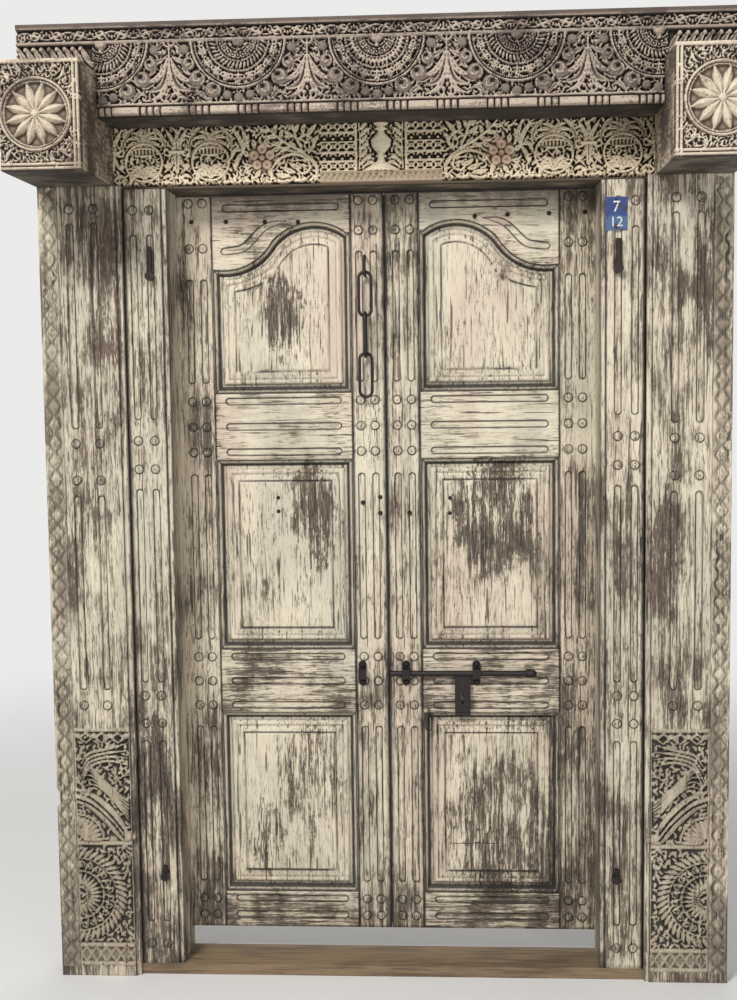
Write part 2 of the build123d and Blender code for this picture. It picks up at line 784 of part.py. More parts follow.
def make_pintle(level, peg_height):
    "Right iron pintle: a round stub out of the jamb with an upright peg on it."
    out = jamb_front - pintle_stub_reach
    stub = Pos(pintle_x, (out + jamb_front + pintle_tang) / 2, level) * Rot(90, 0, 0) * Cylinder(
        pintle_stub_radius, pintle_stub_reach + pintle_tang)
    peg = Pos(pintle_x, out + pintle_stub_radius, level) * Cylinder(
        pintle_peg_radius, pintle_stub_radius + peg_height, align=(Align.CENTER, Align.CENTER, Align.MIN))
    return stub + peg


def make_plate():
    "Enamel plate and the two nails that hold it, with the plate's holes cut."
    x = jamb_inner + plate_inset
    z = lintel_bottom - plate_drop
    half_x = plate_size[0] / 2
    half_z = plate_size[1] / 2
    plate_front = jamb_front - plate_thickness
    plate = block((x - half_x, x + half_x), (plate_front, jamb_front), (z - half_z, z + half_z))
    nails = []
    for side in (-1, 1):
        level = z + side * plate_nail_spacing / 2
        shank = Pos(x, jamb_front, level) * Rot(90, 0, 0) * Cylinder(
            plate_nail_radius / 2, 2 * plate_nail_bite)
        head = extrude(front(jamb_front - plate_thickness) * (Pos(x, level) * Circle(plate_nail_radius)),
                       amount=1.5, taper=25)
        shank &= block((x - 5, x + 5), (jamb_front - plate_thickness, jamb_front + plate_nail_bite),
                       (level - 5, level + 5))
        nails.append(head + shank)
    return plate - nails, nails


def stadium_link(length, width, wire, plane):
    "Chain link of round wire, centred on the given plane."
    path = plane * SlotCenterToCenter(length - width, width - wire).face().outer_wire()
    start = path @ 0
    section = Plane(origin=start, z_dir=path % 0) * Circle(wire / 2)
    return sweep(section, path=path)


def staple_loop(x, z, bow, back, wire, bend):
    "Loop of wire driven into the leaf by its two legs, at the two levels z."
    path = FilletPolyline((x, back, z[0]), (x, bow, z[0]), (x, bow, z[1]), (x, back, z[1]), radius=bend)
    section = Plane(origin=(x, back, z[0]), z_dir=(0, -1, 0)) * Circle(wire / 2)
    return sweep(section, path=path)


def make_chain():
    "Staple and three links, each hanging in the one above."
    hang = chain_top - link_wire - link_play - link_wire / 2
    staple = staple_loop(chain_x, (hang, hang + staple_rise), chain_y - staple_reach,
                         leaf_front + staple_bite, link_wire, 7)
    step = link_length - 2 * link_wire - link_play
    links = []
    for n in range(3):
        middle = chain_top - link_length / 2 - n * step
        facing = (1, 0, 0) if n % 2 else (0, -1, 0)
        plane = Plane(origin=(chain_x, chain_y, middle), x_dir=(0, 0, 1), z_dir=facing)
        links.append(stadium_link(link_length, link_width, link_wire, plane))
    return staple, links


def make_guide(x, play):
    "Strap that bridges the bolt's rod, with a foot above and below it."
    inside = rod_radius + play
    bridge_y = rod_y - inside - guide_strap
    outline = Pos(x, rod_level) * SlotOverall(guide_height, guide_width, rotation=90)
    strap = slab(outline, bridge_y, leaf_front - bridge_y)
    reach = guide_width
    foot = leaf_front - guide_strap
    side = inside + guide_strap
    for low, high in ((-guide_height, -side), (side, guide_height)):
        strap -= block((x - reach, x + reach), (bridge_y - 1, foot), (rod_level + low, rod_level + high))
    tunnel = block((x - reach, x + reach), (rod_y - inside, leaf_front + 1),
                   (rod_level - inside, rod_level + inside))
    return strap - tunnel


def guide_bolts(x):
    "The two round-headed bolts of one guide, through the leaf."
    bolts = []
    for side in (-1, 1):
        z = rod_level + side * guide_bolt_spacing / 2
        foot = leaf_front - guide_strap
        head = Pos(x, foot, z) * Rot(90, 0, 0) * Cone(
            guide_head_radius, guide_head_radius / 2, guide_head_height,
            align=(Align.CENTER, Align.CENTER, Align.MIN))
        shank = Pos(x, (foot + leaf_back) / 2, z) * Rot(90, 0, 0) * Cylinder(
            guide_bolt_radius, leaf_back - foot)
        rove = Pos(x, leaf_back, z) * Rot(-90, 0, 0) * Cylinder(
            guide_head_radius, 3, align=(Align.CENTER, Align.CENTER, Align.MIN))
        bolts.append(head + shank + rove)
    return bolts


def make_bolt():
    "Rod with its hasp, and the knob on the rod's right end."
    rod_right = rod_left + rod_length
    rod = Pos(rod_left, rod_y, rod_level) * Rot(0, 90, 0) * Cylinder(
        rod_radius, rod_length, align=(Align.CENTER, Align.CENTER, Align.MIN))
    profile = make_face(Polyline((rod_right, 0), (rod_right, rod_radius), (rod_right + 4, knob_radius),
                                 (rod_right + 20, knob_radius), (rod_right + knob_length, 5),
                                 (rod_right + knob_length, 0), close=True))
    knob = Pos(0, rod_y, rod_level) * revolve(Plane.XZ * profile, axis=Axis.X)
    x = guide_places[1] + hasp_offset + bolt_travel
    x = (x, x + hasp_width)
    half = hasp_thickness / 2
    hasp = block(x, (rod_y - half, rod_y + half), (rod_level - hasp_drop, rod_level))
    middle = (x[0] + x[1]) / 2
    slot = Pos(middle, rod_level - hasp_slot_drop) * SlotOverall(hasp_slot[1], hasp_slot[0], rotation=90)
    hasp -= slab(slot, rod_y - half, hasp_thickness)
    curl = Pos(middle, rod_y - half, rod_level - hasp_drop + 4) * Rot(0, 90, 0) * Cylinder(4, hasp_width)
    hasp = hasp + curl - rod
    return rod, hasp, knob


def make_drop_link():
    "Small drop link, and the eye in the lock rail that it hangs from."
    x = opening_meeting + drop_link_run
    hang = lower_rail[0] + drop_link_rise
    y = leaf_front - drop_link_stand
    top = hang + eye_wire / 2 + link_play + drop_link_wire
    plane = Plane(origin=(x, y, top - drop_link_length / 2), x_dir=(0, 0, 1), z_dir=(0, -1, 0))
    link = stadium_link(drop_link_length, drop_link_width, drop_link_wire, plane)
    bow = y - drop_link_wire / 2 - link_play - eye_wire / 2
    return link, staple_loop(x, (hang, hang + eye_rise), bow, leaf_front + eye_bite, eye_wire, 2)


nodes = {"sill": make_sill(), "lintel": make_lintel(), "cornice": make_cornice()}

jamb_left = mirrored(make_jamb())
jamb_right = make_jamb(bare_top_boss=True)
pintles = [make_pintle(z, peg) for z, peg in zip(pintle_places, pintle_peg_heights)]
plate, plate_nails = make_plate()
nodes["jamb_left"] = jamb_left - [mirrored(pintle) for pintle in pintles]
nodes["jamb_right"] = jamb_right - pintles - plate_nails
for name, pintle in zip(("upper", "lower"), pintles):
    nodes["pintle_right_" + name] = pintle
    nodes["pintle_left_" + name] = mirrored(pintle)
nodes["number_plate"] = plate
nodes["number_plate_nails"] = Compound(children=plate_nails)

pilaster = make_pilaster()
broken = block((pilaster_outer - chip[0], pilaster_outer + 1), (pilaster_front - 10, pilaster_front + 40),
               (chip_place, chip_place + chip[1]))
nodes["pilaster_right"] = pilaster
nodes["pilaster_left"] = mirrored(pilaster - broken)
corner = make_corner_block()
nodes["corner_block_right"] = corner
nodes["corner_block_left"] = mirrored(corner)
socket = make_socket()
nodes["socket_right"] = socket
nodes["socket_left"] = mirrored(socket)

staple, links = make_chain()
rod, hasp, knob = make_bolt()
drop_link, eye = make_drop_link()
plays = (keeper_play, guide_play, guide_play)
guides = [make_guide(x, play) for x, play in zip(guide_places, plays)]
bolts = [guide_bolts(x) for x in guide_places]
rows = foot_rows() + rail_rows(lower_rail) + rail_rows(upper_rail)
hinge_rows, meeting_rows = [rows + [leaf_top - drop, leaf_top - top_row_drop] for drop in second_row_drops]
bolt_row = rail_rows(lower_rail)[1]
leaf = make_leaf()
nails = {"left": side_nails(-1, left_top_nails, left_edge_nails, left_panel_nails),
         "right": side_nails(1, right_top_nails, right_edge_nails, right_panel_nails)}
fixings = {"left": [staple] + bolts[0], "right": [eye] + bolts[1] + bolts[2]}
hidden_bosses = {"left": ((meeting_columns[1], bolt_row),), "right": ((meeting_columns[0], bolt_row),)}
for side in ("left", "right"):
    fixed = nails[side] + fixings[side]
    woodwork = dict(leaf)
    woodwork["hinge_stile"] += stile_bosses(hinge_columns, hinge_rows)
    woodwork["meeting_stile"] += stile_bosses(meeting_columns, meeting_rows, hidden_bosses[side])
    for name, piece in woodwork.items():
        if side == "left":
            piece = mirrored(piece)
        nodes[name + "_" + side] = piece if "pivot" in name else piece - fixed
    nodes["nails_" + side] = Compound(children=nails[side])

nodes["chain_staple"] = staple
for n, link in enumerate(links):
    nodes["chain_link_%d" % (n + 1)] = link
nodes["bolt_rod"] = rod
nodes["bolt_hasp"] = hasp
nodes["bolt_knob"] = knob
nodes["keeper"] = guides[0] - bolts[0]
nodes["guide_inner"] = guides[1] - bolts[1]
nodes["guide_outer"] = guides[2] - bolts[2]
nodes["keeper_bolts"] = Compound(children=bolts[0])
nodes["guide_bolts"] = Compound(children=bolts[1] + bolts[2])
nodes["drop_link"] = drop_link
nodes["drop_link_eye"] = eye

os.makedirs("parts", exist_ok=True)
for name, shape in nodes.items():
    export_step(shape, "parts/%s.step" % name)
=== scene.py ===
import math

import bpy
import numpy as np
from mathutils import Matrix, Vector


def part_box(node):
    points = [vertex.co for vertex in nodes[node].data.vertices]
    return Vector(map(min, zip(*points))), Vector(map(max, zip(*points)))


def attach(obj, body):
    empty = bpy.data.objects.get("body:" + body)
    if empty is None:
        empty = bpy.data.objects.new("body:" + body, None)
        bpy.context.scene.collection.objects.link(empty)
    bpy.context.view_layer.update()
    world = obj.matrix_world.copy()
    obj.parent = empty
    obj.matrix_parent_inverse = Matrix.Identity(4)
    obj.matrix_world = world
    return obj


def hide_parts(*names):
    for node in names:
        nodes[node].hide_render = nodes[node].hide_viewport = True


# Old carved double door: carved boards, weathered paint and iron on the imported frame.
# Carving is worked out in millimetres, in the front view: x to the right, z up.

MM = 0.001
SIDES = ((-1, "left"), (1, "right"))
UPPER_HALF = (0, 180)
LOWER_HALF = (180, 360)

# The ground of each carving, how far behind a node's front its plane is, and how far it may stand out.
CUT_DEEP = -7.5
CUT_SHALLOW = -6
CUT_BLOCK = -5
CARVED_BACK = 8
HIGHEST = 8.0

# Planes of the faces, the flutes, the rebate beside them, the ring of the blocks and the bosses.
JAMB_FACE = -65.0
PILASTER_FACE = -80.0
LEAF_FACE = 66.0
LEAF_BACK = 110.0
PANEL_BACK = 102.0
FLUTE = 19
FLUTE_DEPTH = 4.5
REBATE = 12
BLOCK_RING = 86
BOSS_RADIUS = 10
BOSS_HEIGHT = 4.4
JAMB_COLUMNS = (42, 84)
PILASTER_COLUMNS = (68, 129)

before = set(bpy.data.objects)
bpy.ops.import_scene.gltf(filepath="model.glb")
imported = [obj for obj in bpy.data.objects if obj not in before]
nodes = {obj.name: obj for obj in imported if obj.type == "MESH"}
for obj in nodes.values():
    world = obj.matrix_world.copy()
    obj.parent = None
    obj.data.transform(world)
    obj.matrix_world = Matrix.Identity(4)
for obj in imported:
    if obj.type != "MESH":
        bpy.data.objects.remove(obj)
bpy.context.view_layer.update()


def box_mm(node):
    "Lowest and highest corner of a node, in millimetres."
    low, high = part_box(node)
    return np.array(low) / MM, np.array(high) / MM


# Points and curves

def polar(cx, cz, radius, a):
    "Point at a distance from a place, at an angle in radians."
    return cx + radius * math.cos(a), cz + radius * math.sin(a)


def around(cx, cz, side=1, up=1):
    "Makes points of pairs measured from a place. side and up are 1 or -1."
    return lambda *pairs: [(cx + side * x, cz + up * z) for x, z in pairs]


def half_round(s):
    "1 at 0, falling along a half circle to 0 at 1 and at -1."
    return np.sqrt(np.clip(1 - s * s, 0, 1))


def bell(s):
    "1 at 0, falling smoothly to nothing on both sides."
    return np.exp(-s ** 2)


def smooth_line(points):
    "Points of a curve through the given ones, about 1.5 mm apart."
    p = np.asarray(points, float)
    if len(p) < 3:
        n = max(int(np.hypot(*(p[-1] - p[0])) / 1.5), 2)
        return p[0] + (p[-1] - p[0]) * np.linspace(0, 1, n)[:, None]
    padded = np.vstack((2 * p[0] - p[1], p, 2 * p[-1] - p[-2]))
    out = []
    for a, b, c, d in zip(padded, padded[1:], padded[2:], padded[3:]):
        n = max(int(np.hypot(*(c - b)) / 1.5), 2)
        t = np.linspace(0, 1, n, endpoint=False)[:, None]
        out.append(0.5 * (2 * b + (c - a) * t + (2 * a - 5 * b + 4 * c - d) * t ** 2
                          + (3 * b - a - 3 * c + d) * t ** 3))
    return np.vstack(out + [p[-1:]])


def spread(value, t):
    if np.isscalar(value):
        return np.full(len(t), float(value))
    return np.interp(t, np.linspace(0, 1, len(value)), value)


def blur(values, size):
    "Box-blurs a grid three times over, which is close to a round blur."
    n = max(int(size), 1)
    for axis in (0, 1):
        for _ in range(3):
            pad = [(0, 0), (0, 0)]
            pad[axis] = (n + 1, n)
            total = np.cumsum(np.pad(values, pad, mode="edge"), axis)
            high = [slice(None), slice(None)]
            low = list(high)
            high[axis] = slice(2 * n + 1, None)
            low[axis] = slice(0, -(2 * n + 1))
            values = (total[tuple(high)] - total[tuple(low)]) / (2 * n + 1)
    return values


def lines(low, high, step):
    return np.linspace(low, high, int(round((high - low) / step)) + 1)


def graded(low, high, fine_spans, fine=2.5, coarse=14.0):
    "Grid lines that are close together in the given spans and wide apart elsewhere."
    marks = sorted({low, high, *(min(max(v, low), high) for span in fine_spans for v in span)})
    out = [low]
    for a, b in zip(marks, marks[1:]):
        middle = (a + b) / 2
        inside = any(span[0] <= middle <= span[1] for span in fine_spans)
        n = max(int(math.ceil((b - a) / (fine if inside else coarse))), 1)
        out.extend(np.linspace(a, b, n + 1)[1:])
    return np.array(out)


# Carved faces as height fields

PROFILES = {
    "round": half_round,
    "ridge": lambda s: 1 - s,
    "vein": lambda s: half_round(s) - 0.45 * bell(s / 0.22),
    "gouge": lambda s: np.where(s < 0.8, 0.4 + 0.75 * s * s, (1 - s) / 0.2 * 0.88),
}


class Relief:
    """Face as heights over a grid of x and z, in millimetres, with the grime and painted shade that lie on
    it.
    ground is the level that the carving stands on."""

    def __init__(self, x, z, ground=0.0):
        if np.ndim(x) == 1:
            x, z = np.meshgrid(x, z, indexing="ij")
        self.x = x
        self.z = z
        self.ground = ground
        self.h = np.zeros_like(x)
        self.dirt = np.zeros_like(x)
        self.carved = np.zeros_like(x)

    def part(self, x0, x1, z0, z1):
        "Slices of the grid round a window."
        i = np.flatnonzero((self.x[:, 0] >= x0) & (self.x[:, 0] <= x1))
        if not len(i):
            return slice(0, 0), slice(0, 0)
        z = self.z[i[0]:i[-1] + 1]
        k = np.flatnonzero((z.max(0) >= z0) & (z.min(0) <= z1))
        if not len(k):
            return slice(0, 0), slice(0, 0)
        return slice(i[0], i[-1] + 1), slice(k[0], k[-1] + 1)

    def disc(self, cx, cz, r):
        "Window round a place, and how far each of its points is from it."
        part = self.part(cx - r, cx + r, cz - r, cz + r)
        return part, np.hypot(self.x[part] - cx, self.z[part] - cz)

    def clear(self, x0=-math.inf, x1=math.inf, z0=-math.inf, z1=math.inf):
        "Sinks a window, or the whole face, to the ground."
        self.h[self.part(x0, x1, z0, z1)] = self.ground

    def raise_to(self, part, height, inside=True):
        self.h[part] = np.where(inside, np.maximum(self.h[part], height), self.h[part])

    # Darkens the face with painted shade and grime, keeping the greater amount.
    def shade_and_soil(self, amount, part=...):
        self.dirt[part] = np.maximum(self.dirt[part], amount)

    def reach(self, points, width):
        "Window round a line, the points in it, and how far each is from the line in half widths."
        line = smooth_line(points)
        steps = np.hypot(*np.diff(line, axis=0).T)
        t = np.concatenate(([0], np.cumsum(steps)))
        t /= t[-1]
        widths = spread(width, t)
        far = widths.max() / 2 + 1
        part = self.part(line[:, 0].min() - far, line[:, 0].max() + far,
                         line[:, 1].min() - far, line[:, 1].max() + far)
        x = self.x[part]
        if x.size == 0:
            return None
        gap = (x[..., None] - line[:, 0]) ** 2 + (self.z[part][..., None] - line[:, 1]) ** 2
        scaled = gap / np.maximum(widths / 2, 0.3) ** 2
        near = scaled.argmin(-1)
        s = np.sqrt(np.take_along_axis(scaled, near[..., None], -1)[..., 0])
        return part, s, t[near]

    def stroke(self, points, width, height, profile="round"):
        "Carved stem or leaf along a smooth line. Its width may be a list spread along the line."
        found = self.reach(points, width)
        if found:
            part, s, t = found
            level = PROFILES[profile](np.minimum(s, 1))
            if profile == "vein":
                length = np.hypot(*np.diff(np.asarray(points, float), axis=0).T).sum()
                level = level * (0.8 + 0.2 * np.abs(np.sin(math.pi * (t * length / 13 - 0.8 * s))))
            self.raise_to(part, self.ground + height * level, s < 1)

    def strokes(self, at, *rows):
        "Several of them, each as points for at, width, height and profile."
        for points, width, height, profile in rows:
            self.stroke(at(*points), width, height, profile)

    def groove(self, points, width, depth):
        """Flute along a line, with painted shade and grime along its edges."""
        found = self.reach(points, width)
        if found:
            part, s, _ = found
            floor = -depth * np.clip((1 - s) * 5, 0, 1) * (0.8 + 0.2 * (1 - s * s))
            self.h[part] = np.where(s < 1, np.minimum(self.h[part], floor), self.h[part])
            self.shade_and_soil(bell((s - 0.9) / 0.2), part)

    def dome(self, cx, cz, r, height, base=None, power=0.5):
        part, d = self.disc(cx, cz, r)
        d = d / r
        base = self.ground if base is None else base
        self.raise_to(part, base + height * np.clip(1 - d * d, 0, 1) ** power, d < 1)

    def pit(self, cx, cz, r, depth):
        part, d = self.disc(cx, cz, r)
        self.h[part] -= depth * np.clip(1 - (d / r) ** 2, 0, 1)

    def ring(self, cx, cz, r, width, height, arc=(0, 360), beads=0):
        part, d = self.disc(cx, cz, r + width)
        s = np.abs(d - r) / (width / 2)
        angle = np.degrees(np.arctan2(self.z[part] - cz, self.x[part] - cx)) % 360
        level = half_round(np.minimum(s, 1)) * height
        if beads:
            level = level * (0.3 + 0.7 * np.abs(np.sin(np.radians(angle) * beads / 2)))
        self.raise_to(part, self.ground + level, (s < 1) & (angle >= arc[0]) & (angle <= arc[1]))

    def petals(self, cx, cz, r0, r1, angles, width, height, profile="round", bend=0.0):
        "Petals that point away from a centre at the given angles, in degrees."
        for angle in angles:
            a = math.radians(angle)
            b = math.radians(angle + bend)
            middle = polar(cx, cz, (r0 + r1) / 2, (a + b) / 2)
            self.stroke([polar(cx, cz, r0, a), middle, polar(cx, cz, r1, b)],
                        [width * 0.4, width, width * 0.8, 2], height, profile)

    def scroll(self, cx, cz, r, start, turn, width, height):
        "Curl that winds in to its centre. turn is its total angle, with its sign."
        t = np.linspace(0, 1, 12)
        a = np.radians(start + turn * t)
        radius = r * (1 - 0.8 * t)
        self.stroke(list(zip(cx + radius * np.cos(a), cz + radius * np.sin(a))),
                    [width, width, width * 0.8, width * 1.2], height)

    def fill(self, x, z, spacing, length, width, height, seed, lean=90):
        "Small curling leaves wherever the ground still shows."
        rng = np.random.default_rng(seed)
        for cx in np.arange(x[0], x[1], spacing):
            for cz in np.arange(z[0], z[1], spacing):
                px = cx + rng.uniform(-0.3, 0.3) * spacing
                pz = cz + rng.uniform(-0.3, 0.3) * spacing
                part, _ = self.disc(px, pz, width * 0.5)
                if self.h[part].size == 0 or self.h[part].max() > self.ground + 0.8:
                    continue
                a = math.radians(lean + rng.uniform(-70, 70))
                u, v = math.cos(a) * length / 2, math.sin(a) * length / 2
                c = rng.choice((-1, 1)) * 0.35
                self.stroke([(px - u, pz - v), (px - v * c, pz + u * c), (px + u, pz + v)],
                            [2, width, width * 0.8, 2], height, "vein")

    def mirror(self):
        "Makes the left half the image of the right one."
        self.h = np.maximum(self.h, self.h[::-1])
        self.dirt = np.maximum(self.dirt, self.dirt[::-1])

    def above(self, level):
        "The same face from a level upwards."
        rows = self.z[0] >= level
        upper = Relief(self.x[:, rows], self.z[:, rows])
        upper.h = self.h[:, rows]
        upper.dirt = self.dirt[:, rows]
        return upper

    def deepen(self, factor):
        "Cuts the ground of the carving deeper."
        self.h = np.where(self.h < 1, (self.h - 1) * factor + 1, self.h)

    def settle_grime_and_shade(self, depth, level, fall):
        """Painted shade and grime where the face is lower than what is round it, and on the ground of the
        carving.
        """
        lower = np.clip((blur(self.h, 3) - self.h) / depth, 0, 1)
        near = np.clip((blur(self.h, 1) - self.h) / (depth * 0.35), 0, 1)
        deep = np.clip((level - self.h) / fall, 0, 1)
        self.shade_and_soil(np.clip(lower * 0.6 + near * 0.4 + deep * 0.55, 0, 1))

    def roughen(self, amount, seed):
        "Worn, uneven surface."
        self.h += amount * 2 * blur(np.random.default_rng(seed).standard_normal(self.h.shape), 2)


def flip(r):
    "Turns a right-hand face into a left-hand one."
    r.x = -r.x[::-1]
    for key in ("z", "h", "dirt", "carved"):
        setattr(r, key, getattr(r, key)[::-1].copy())
    return r


def handed(r, side):
    "A right-hand face, flipped where side is -1."
    return flip(r) if side < 0 else r


def quads(*corners):
    "Faces with four corners, of four grids of the corners' numbers."
    return np.stack(corners, -1).reshape(-1, 4).tolist()


def board(name, relief, y_face, y_back, keep=None, nose=None, back_grime_and_shade=0.0):
    """Closed board with a carved face that stands out of y_face, towards the viewer.
    keep is a range of x, so that one relief can serve boards side by side.
    nose is the x and the radius of a half-round edge. The last argument is the painted shade given to the
    points behind the face, which darkens its sides and underside."""
    use = slice(None)
    if keep:
        use = (relief.x[:, 0] >= keep[0] - 0.01) & (relief.x[:, 0] <= keep[1] + 0.01)
    x, z, dirt, carved = relief.x[use], relief.z[use], relief.dirt[use], relief.carved[use]
    h = np.minimum(relief.h[use], HIGHEST)
    nx, nz = h.shape
    inset = np.zeros(nx)
    if nose:
        past = np.clip((x[:, 0] - nose[0]) * np.sign(nose[0]), 0, nose[1])
        inset = nose[1] - np.sqrt(nose[1] ** 2 - past ** 2)
    face = np.stack((x, y_face - h + inset[:, None], z), -1).reshape(-1, 3)
    deep = np.repeat((y_back - inset)[:, None], nz, 1)
    back = np.stack((x, deep, z), -1)
    sides = back[[0, -1]].reshape(-1, 3)
    middle = back[1:-1][:, [0, -1]].reshape(-1, 3)
    f = np.arange(nx * nz).reshape(nx, nz)
    s = nx * nz + np.arange(2 * nz).reshape(2, nz)
    b = np.empty((nx, 2), int)
    b[[0, -1]] = s[:, [0, -1]]
    b[1:-1] = (nx + 2) * nz + np.arange(2 * (nx - 2)).reshape(-1, 2)
    faces = quads(f[:-1, :-1], f[1:, :-1], f[1:, 1:], f[:-1, 1:])
    smooth = len(faces)
    faces += quads(b[1:-2, 0], b[1:-2, 1], b[2:-1, 1], b[2:-1, 0])
    faces += quads(f[:-1, 0], b[:-1, 0], b[1:, 0], f[1:, 0])
    faces += quads(f[:-1, -1], f[1:, -1], b[1:, 1], b[:-1, 1])
    faces += quads(f[0, :-1], f[0, 1:], s[0, 1:], s[0, :-1])
    faces += quads(f[-1, :-1], s[1, :-1], s[1, 1:], f[-1, 1:])
    faces.append([*s[0].tolist(), int(b[1, 1]), int(b[1, 0])])
    faces.append([int(b[-2, 0]), int(b[-2, 1]), *s[1][::-1].tolist()])
    points = np.vstack((face, sides, middle)) * MM
    behind = len(points) - nx * nz
    values = {"dirt": np.concatenate((dirt.ravel(), np.full(behind, back_grime_and_shade))),
              "carved": np.concatenate((carved.ravel(), np.zeros(behind)))}
    return make_mesh(name, points, faces, values, smooth)


def make_mesh(name, points, faces, attributes=None, smooth=0):
    mesh = bpy.data.meshes.new(name)
    mesh.from_pydata(points.tolist() if isinstance(points, np.ndarray) else points, [], faces)
    for key, values in (attributes or {}).items():
        layer = mesh.attributes.new(key, "FLOAT", "POINT")
        layer.data.foreach_set("value", np.asarray(values, np.float32))
    flags = np.zeros(len(mesh.polygons), bool)
    flags[:smooth] = True
    mesh.polygons.foreach_set("use_smooth", flags)
    mesh.update()
    return add_object(name, mesh)


def add_object(name, data):
    made = bpy.data.objects.new(name, data)
    bpy.context.scene.collection.objects.link(made)
    return made


def add_node(tree, kind, settings=None, inputs=None):
    "Node with its settings, and with a value or a link for each of the given inputs."
    node = tree.nodes.new(kind)
    for key, value in (settings or {}).items():
        if key == "stops":
            ramp = node.color_ramp
            while len(ramp.elements) < len(value):
                ramp.elements.new(0.5)
            for stop, (at, colour) in zip(ramp.elements, value):
                stop.position = at
                stop.color = (*colour, 1)
        else:
            setattr(node, key, value)
    for key, value in (inputs or {}).items():
        value = getattr(value, "socket", value)
        if isinstance(value, bpy.types.NodeSocket):
            tree.links.new(value, node.inputs[key])
        else:
            node.inputs[key].default_value = value
    return node


def place_piece(obj, material, body, *names, slot=None):
    "Gives a finished piece its material, its body and the nodes that it stands for."
    obj.data.materials.clear()
    obj.data.materials.append(material)
    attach(obj, body)
    if names:
        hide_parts(*names)


# Finishes

def arithmetic(operation, swapped=False):
    "Method that adds one Math node."
    def method(self, other):
        pair = (other, self) if swapped else (self, other)
        return self.bench.value("ShaderNodeMath", {"operation": operation}, dict(enumerate(pair)))
    return method


class Value:
    "Number on a surface, as a socket that takes part in arithmetic."

    def __init__(self, bench, socket):
        self.bench = bench
        self.socket = socket

    __add__ = __radd__ = arithmetic("ADD")
    __mul__ = __rmul__ = arithmetic("MULTIPLY")
    __sub__ = arithmetic("SUBTRACT")
    __rsub__ = arithmetic("SUBTRACT", swapped=True)
    __truediv__ = arithmetic("DIVIDE")
    __pow__ = arithmetic("POWER")
    over = arithmetic("MAXIMUM")
    under = arithmetic("MINIMUM")


class Bench:
    "Node tree of one finish, with the few nodes that the finishes here use."

    def __init__(self, name):
        self.material = bpy.data.materials.new(name)
        self.material.use_nodes = True
        self.tree = self.material.node_tree
        self.tree.nodes.clear()
        self.place = self.make("ShaderNodeTexCoord").outputs["Object"]
        split = self.make("ShaderNodeSeparateXYZ", {}, {0: self.place})
        self.x, self.y, self.z = (Value(self, out) for out in split.outputs)

    def make(self, kind, settings=None, inputs=None):
        return add_node(self.tree, kind, settings, inputs)

    def value(self, kind, settings=None, inputs=None, output=0):
        "Node whose output is a number."
        return Value(self, self.make(kind, settings, inputs).outputs[output])

    def stretched(self, x, y, z, shift=(0, 0, 0)):
        "Object coordinates scaled along each axis."
        return self.make("ShaderNodeMapping", {}, {0: self.place, 1: shift, 3: (x, y, z)}).outputs[0]

    def noise(self, where, scale, detail=4, roughness=0.6, distortion=0.0):
        return self.value("ShaderNodeTexNoise", {}, {"Vector": where, "Scale": scale, "Detail": detail,
                                                     "Roughness": roughness, "Distortion": distortion})

    def step(self, value, low, high):
        "0 below low and 1 above high, smooth between; the other way when low is above high."
        start, end = (0.0, 1.0) if low < high else (1.0, 0.0)
        return self.value("ShaderNodeMapRange", {"interpolation_type": "SMOOTHSTEP"},
                          {0: value, 1: min(low, high), 2: max(low, high), 3: start, 4: end})

    def attribute(self, name):
        return self.value("ShaderNodeAttribute", {"attribute_name": name}, output="Fac")

    def spot(self, x, z, wide, tall):
        "1 in the middle of an oval place on the front, in metres, falling to 0 at its ragged edge."
        u = (self.x - x) / wide
        v = (self.z - z) / tall
        ragged = (self.noise(self.place, 22, 5, 0.75) - 0.5) * 1.9
        return self.step(u * u + v * v + ragged, 1.0, 0.1)

    def crack(self, x0, z0, x1, z1, width=0.0016):
        "1 along a straight split in the front, in metres, between two places."
        long = math.hypot(x1 - x0, z1 - z0)
        u, v = (x1 - x0) / long, (z1 - z0) / long
        along = (self.x - x0) * u + (self.z - z0) * v
        across = (self.x - x0) * v - (self.z - z0) * u
        wander = (self.noise(self.place, 60, 3, 0.6) - 0.5) * 0.012
        off = (across + wander) * (across + wander)
        open_here = self.step(off, width ** 2, width ** 2 * 0.2)
        return open_here * self.step(along, 0.0, 0.01) * self.step(along, long, long - 0.01)

    def mix(self, a, b, factor):
        "Blend of two colours."
        a, b = ((*c, 1) if isinstance(c, tuple) else c for c in (a, b))
        return self.make("ShaderNodeMix", {"data_type": "RGBA"}, {0: factor, 6: a, 7: b}).outputs[2]

    def ramp(self, value, *stops):
        return self.make("ShaderNodeValToRGB", {"stops": stops}, {0: value}).outputs[0]

    def finish(self, height=None, relief=1.0, distance=0.001, **inputs):
        if height is not None:
            bump = {"Height": height, "Strength": relief, "Distance": distance}
            inputs["Normal"] = self.make("ShaderNodeBump", {}, bump).outputs[0]
        shader = self.make("ShaderNodeBsdfPrincipled", {},
                           {key.replace("_", " "): value for key, value in inputs.items()})
        self.make("ShaderNodeOutputMaterial", {}, {0: shader.outputs[0]})
        return self.material


def screen(r, g, b):
    "Colour given as 0 to 255 on a screen."
    return tuple(((c / 255 + 0.055) / 1.055) ** 2.4 if c > 10 else c / 255 / 12.92 for c in (r, g, b))


CREAM = screen(219, 208, 184)
CREAM_PINK = screen(210, 192, 172)
CREAM_GREY = screen(200, 191, 171)
WASH = screen(160, 146, 124)
BARE = screen(96, 84, 72)
GREY_WOOD = screen(82, 77, 71)
RED_WOOD = screen(98, 74, 64)
GRIME = screen(52, 44, 36)
DEEP = screen(24, 19, 15)
ROSE_RED = screen(176, 116, 104)


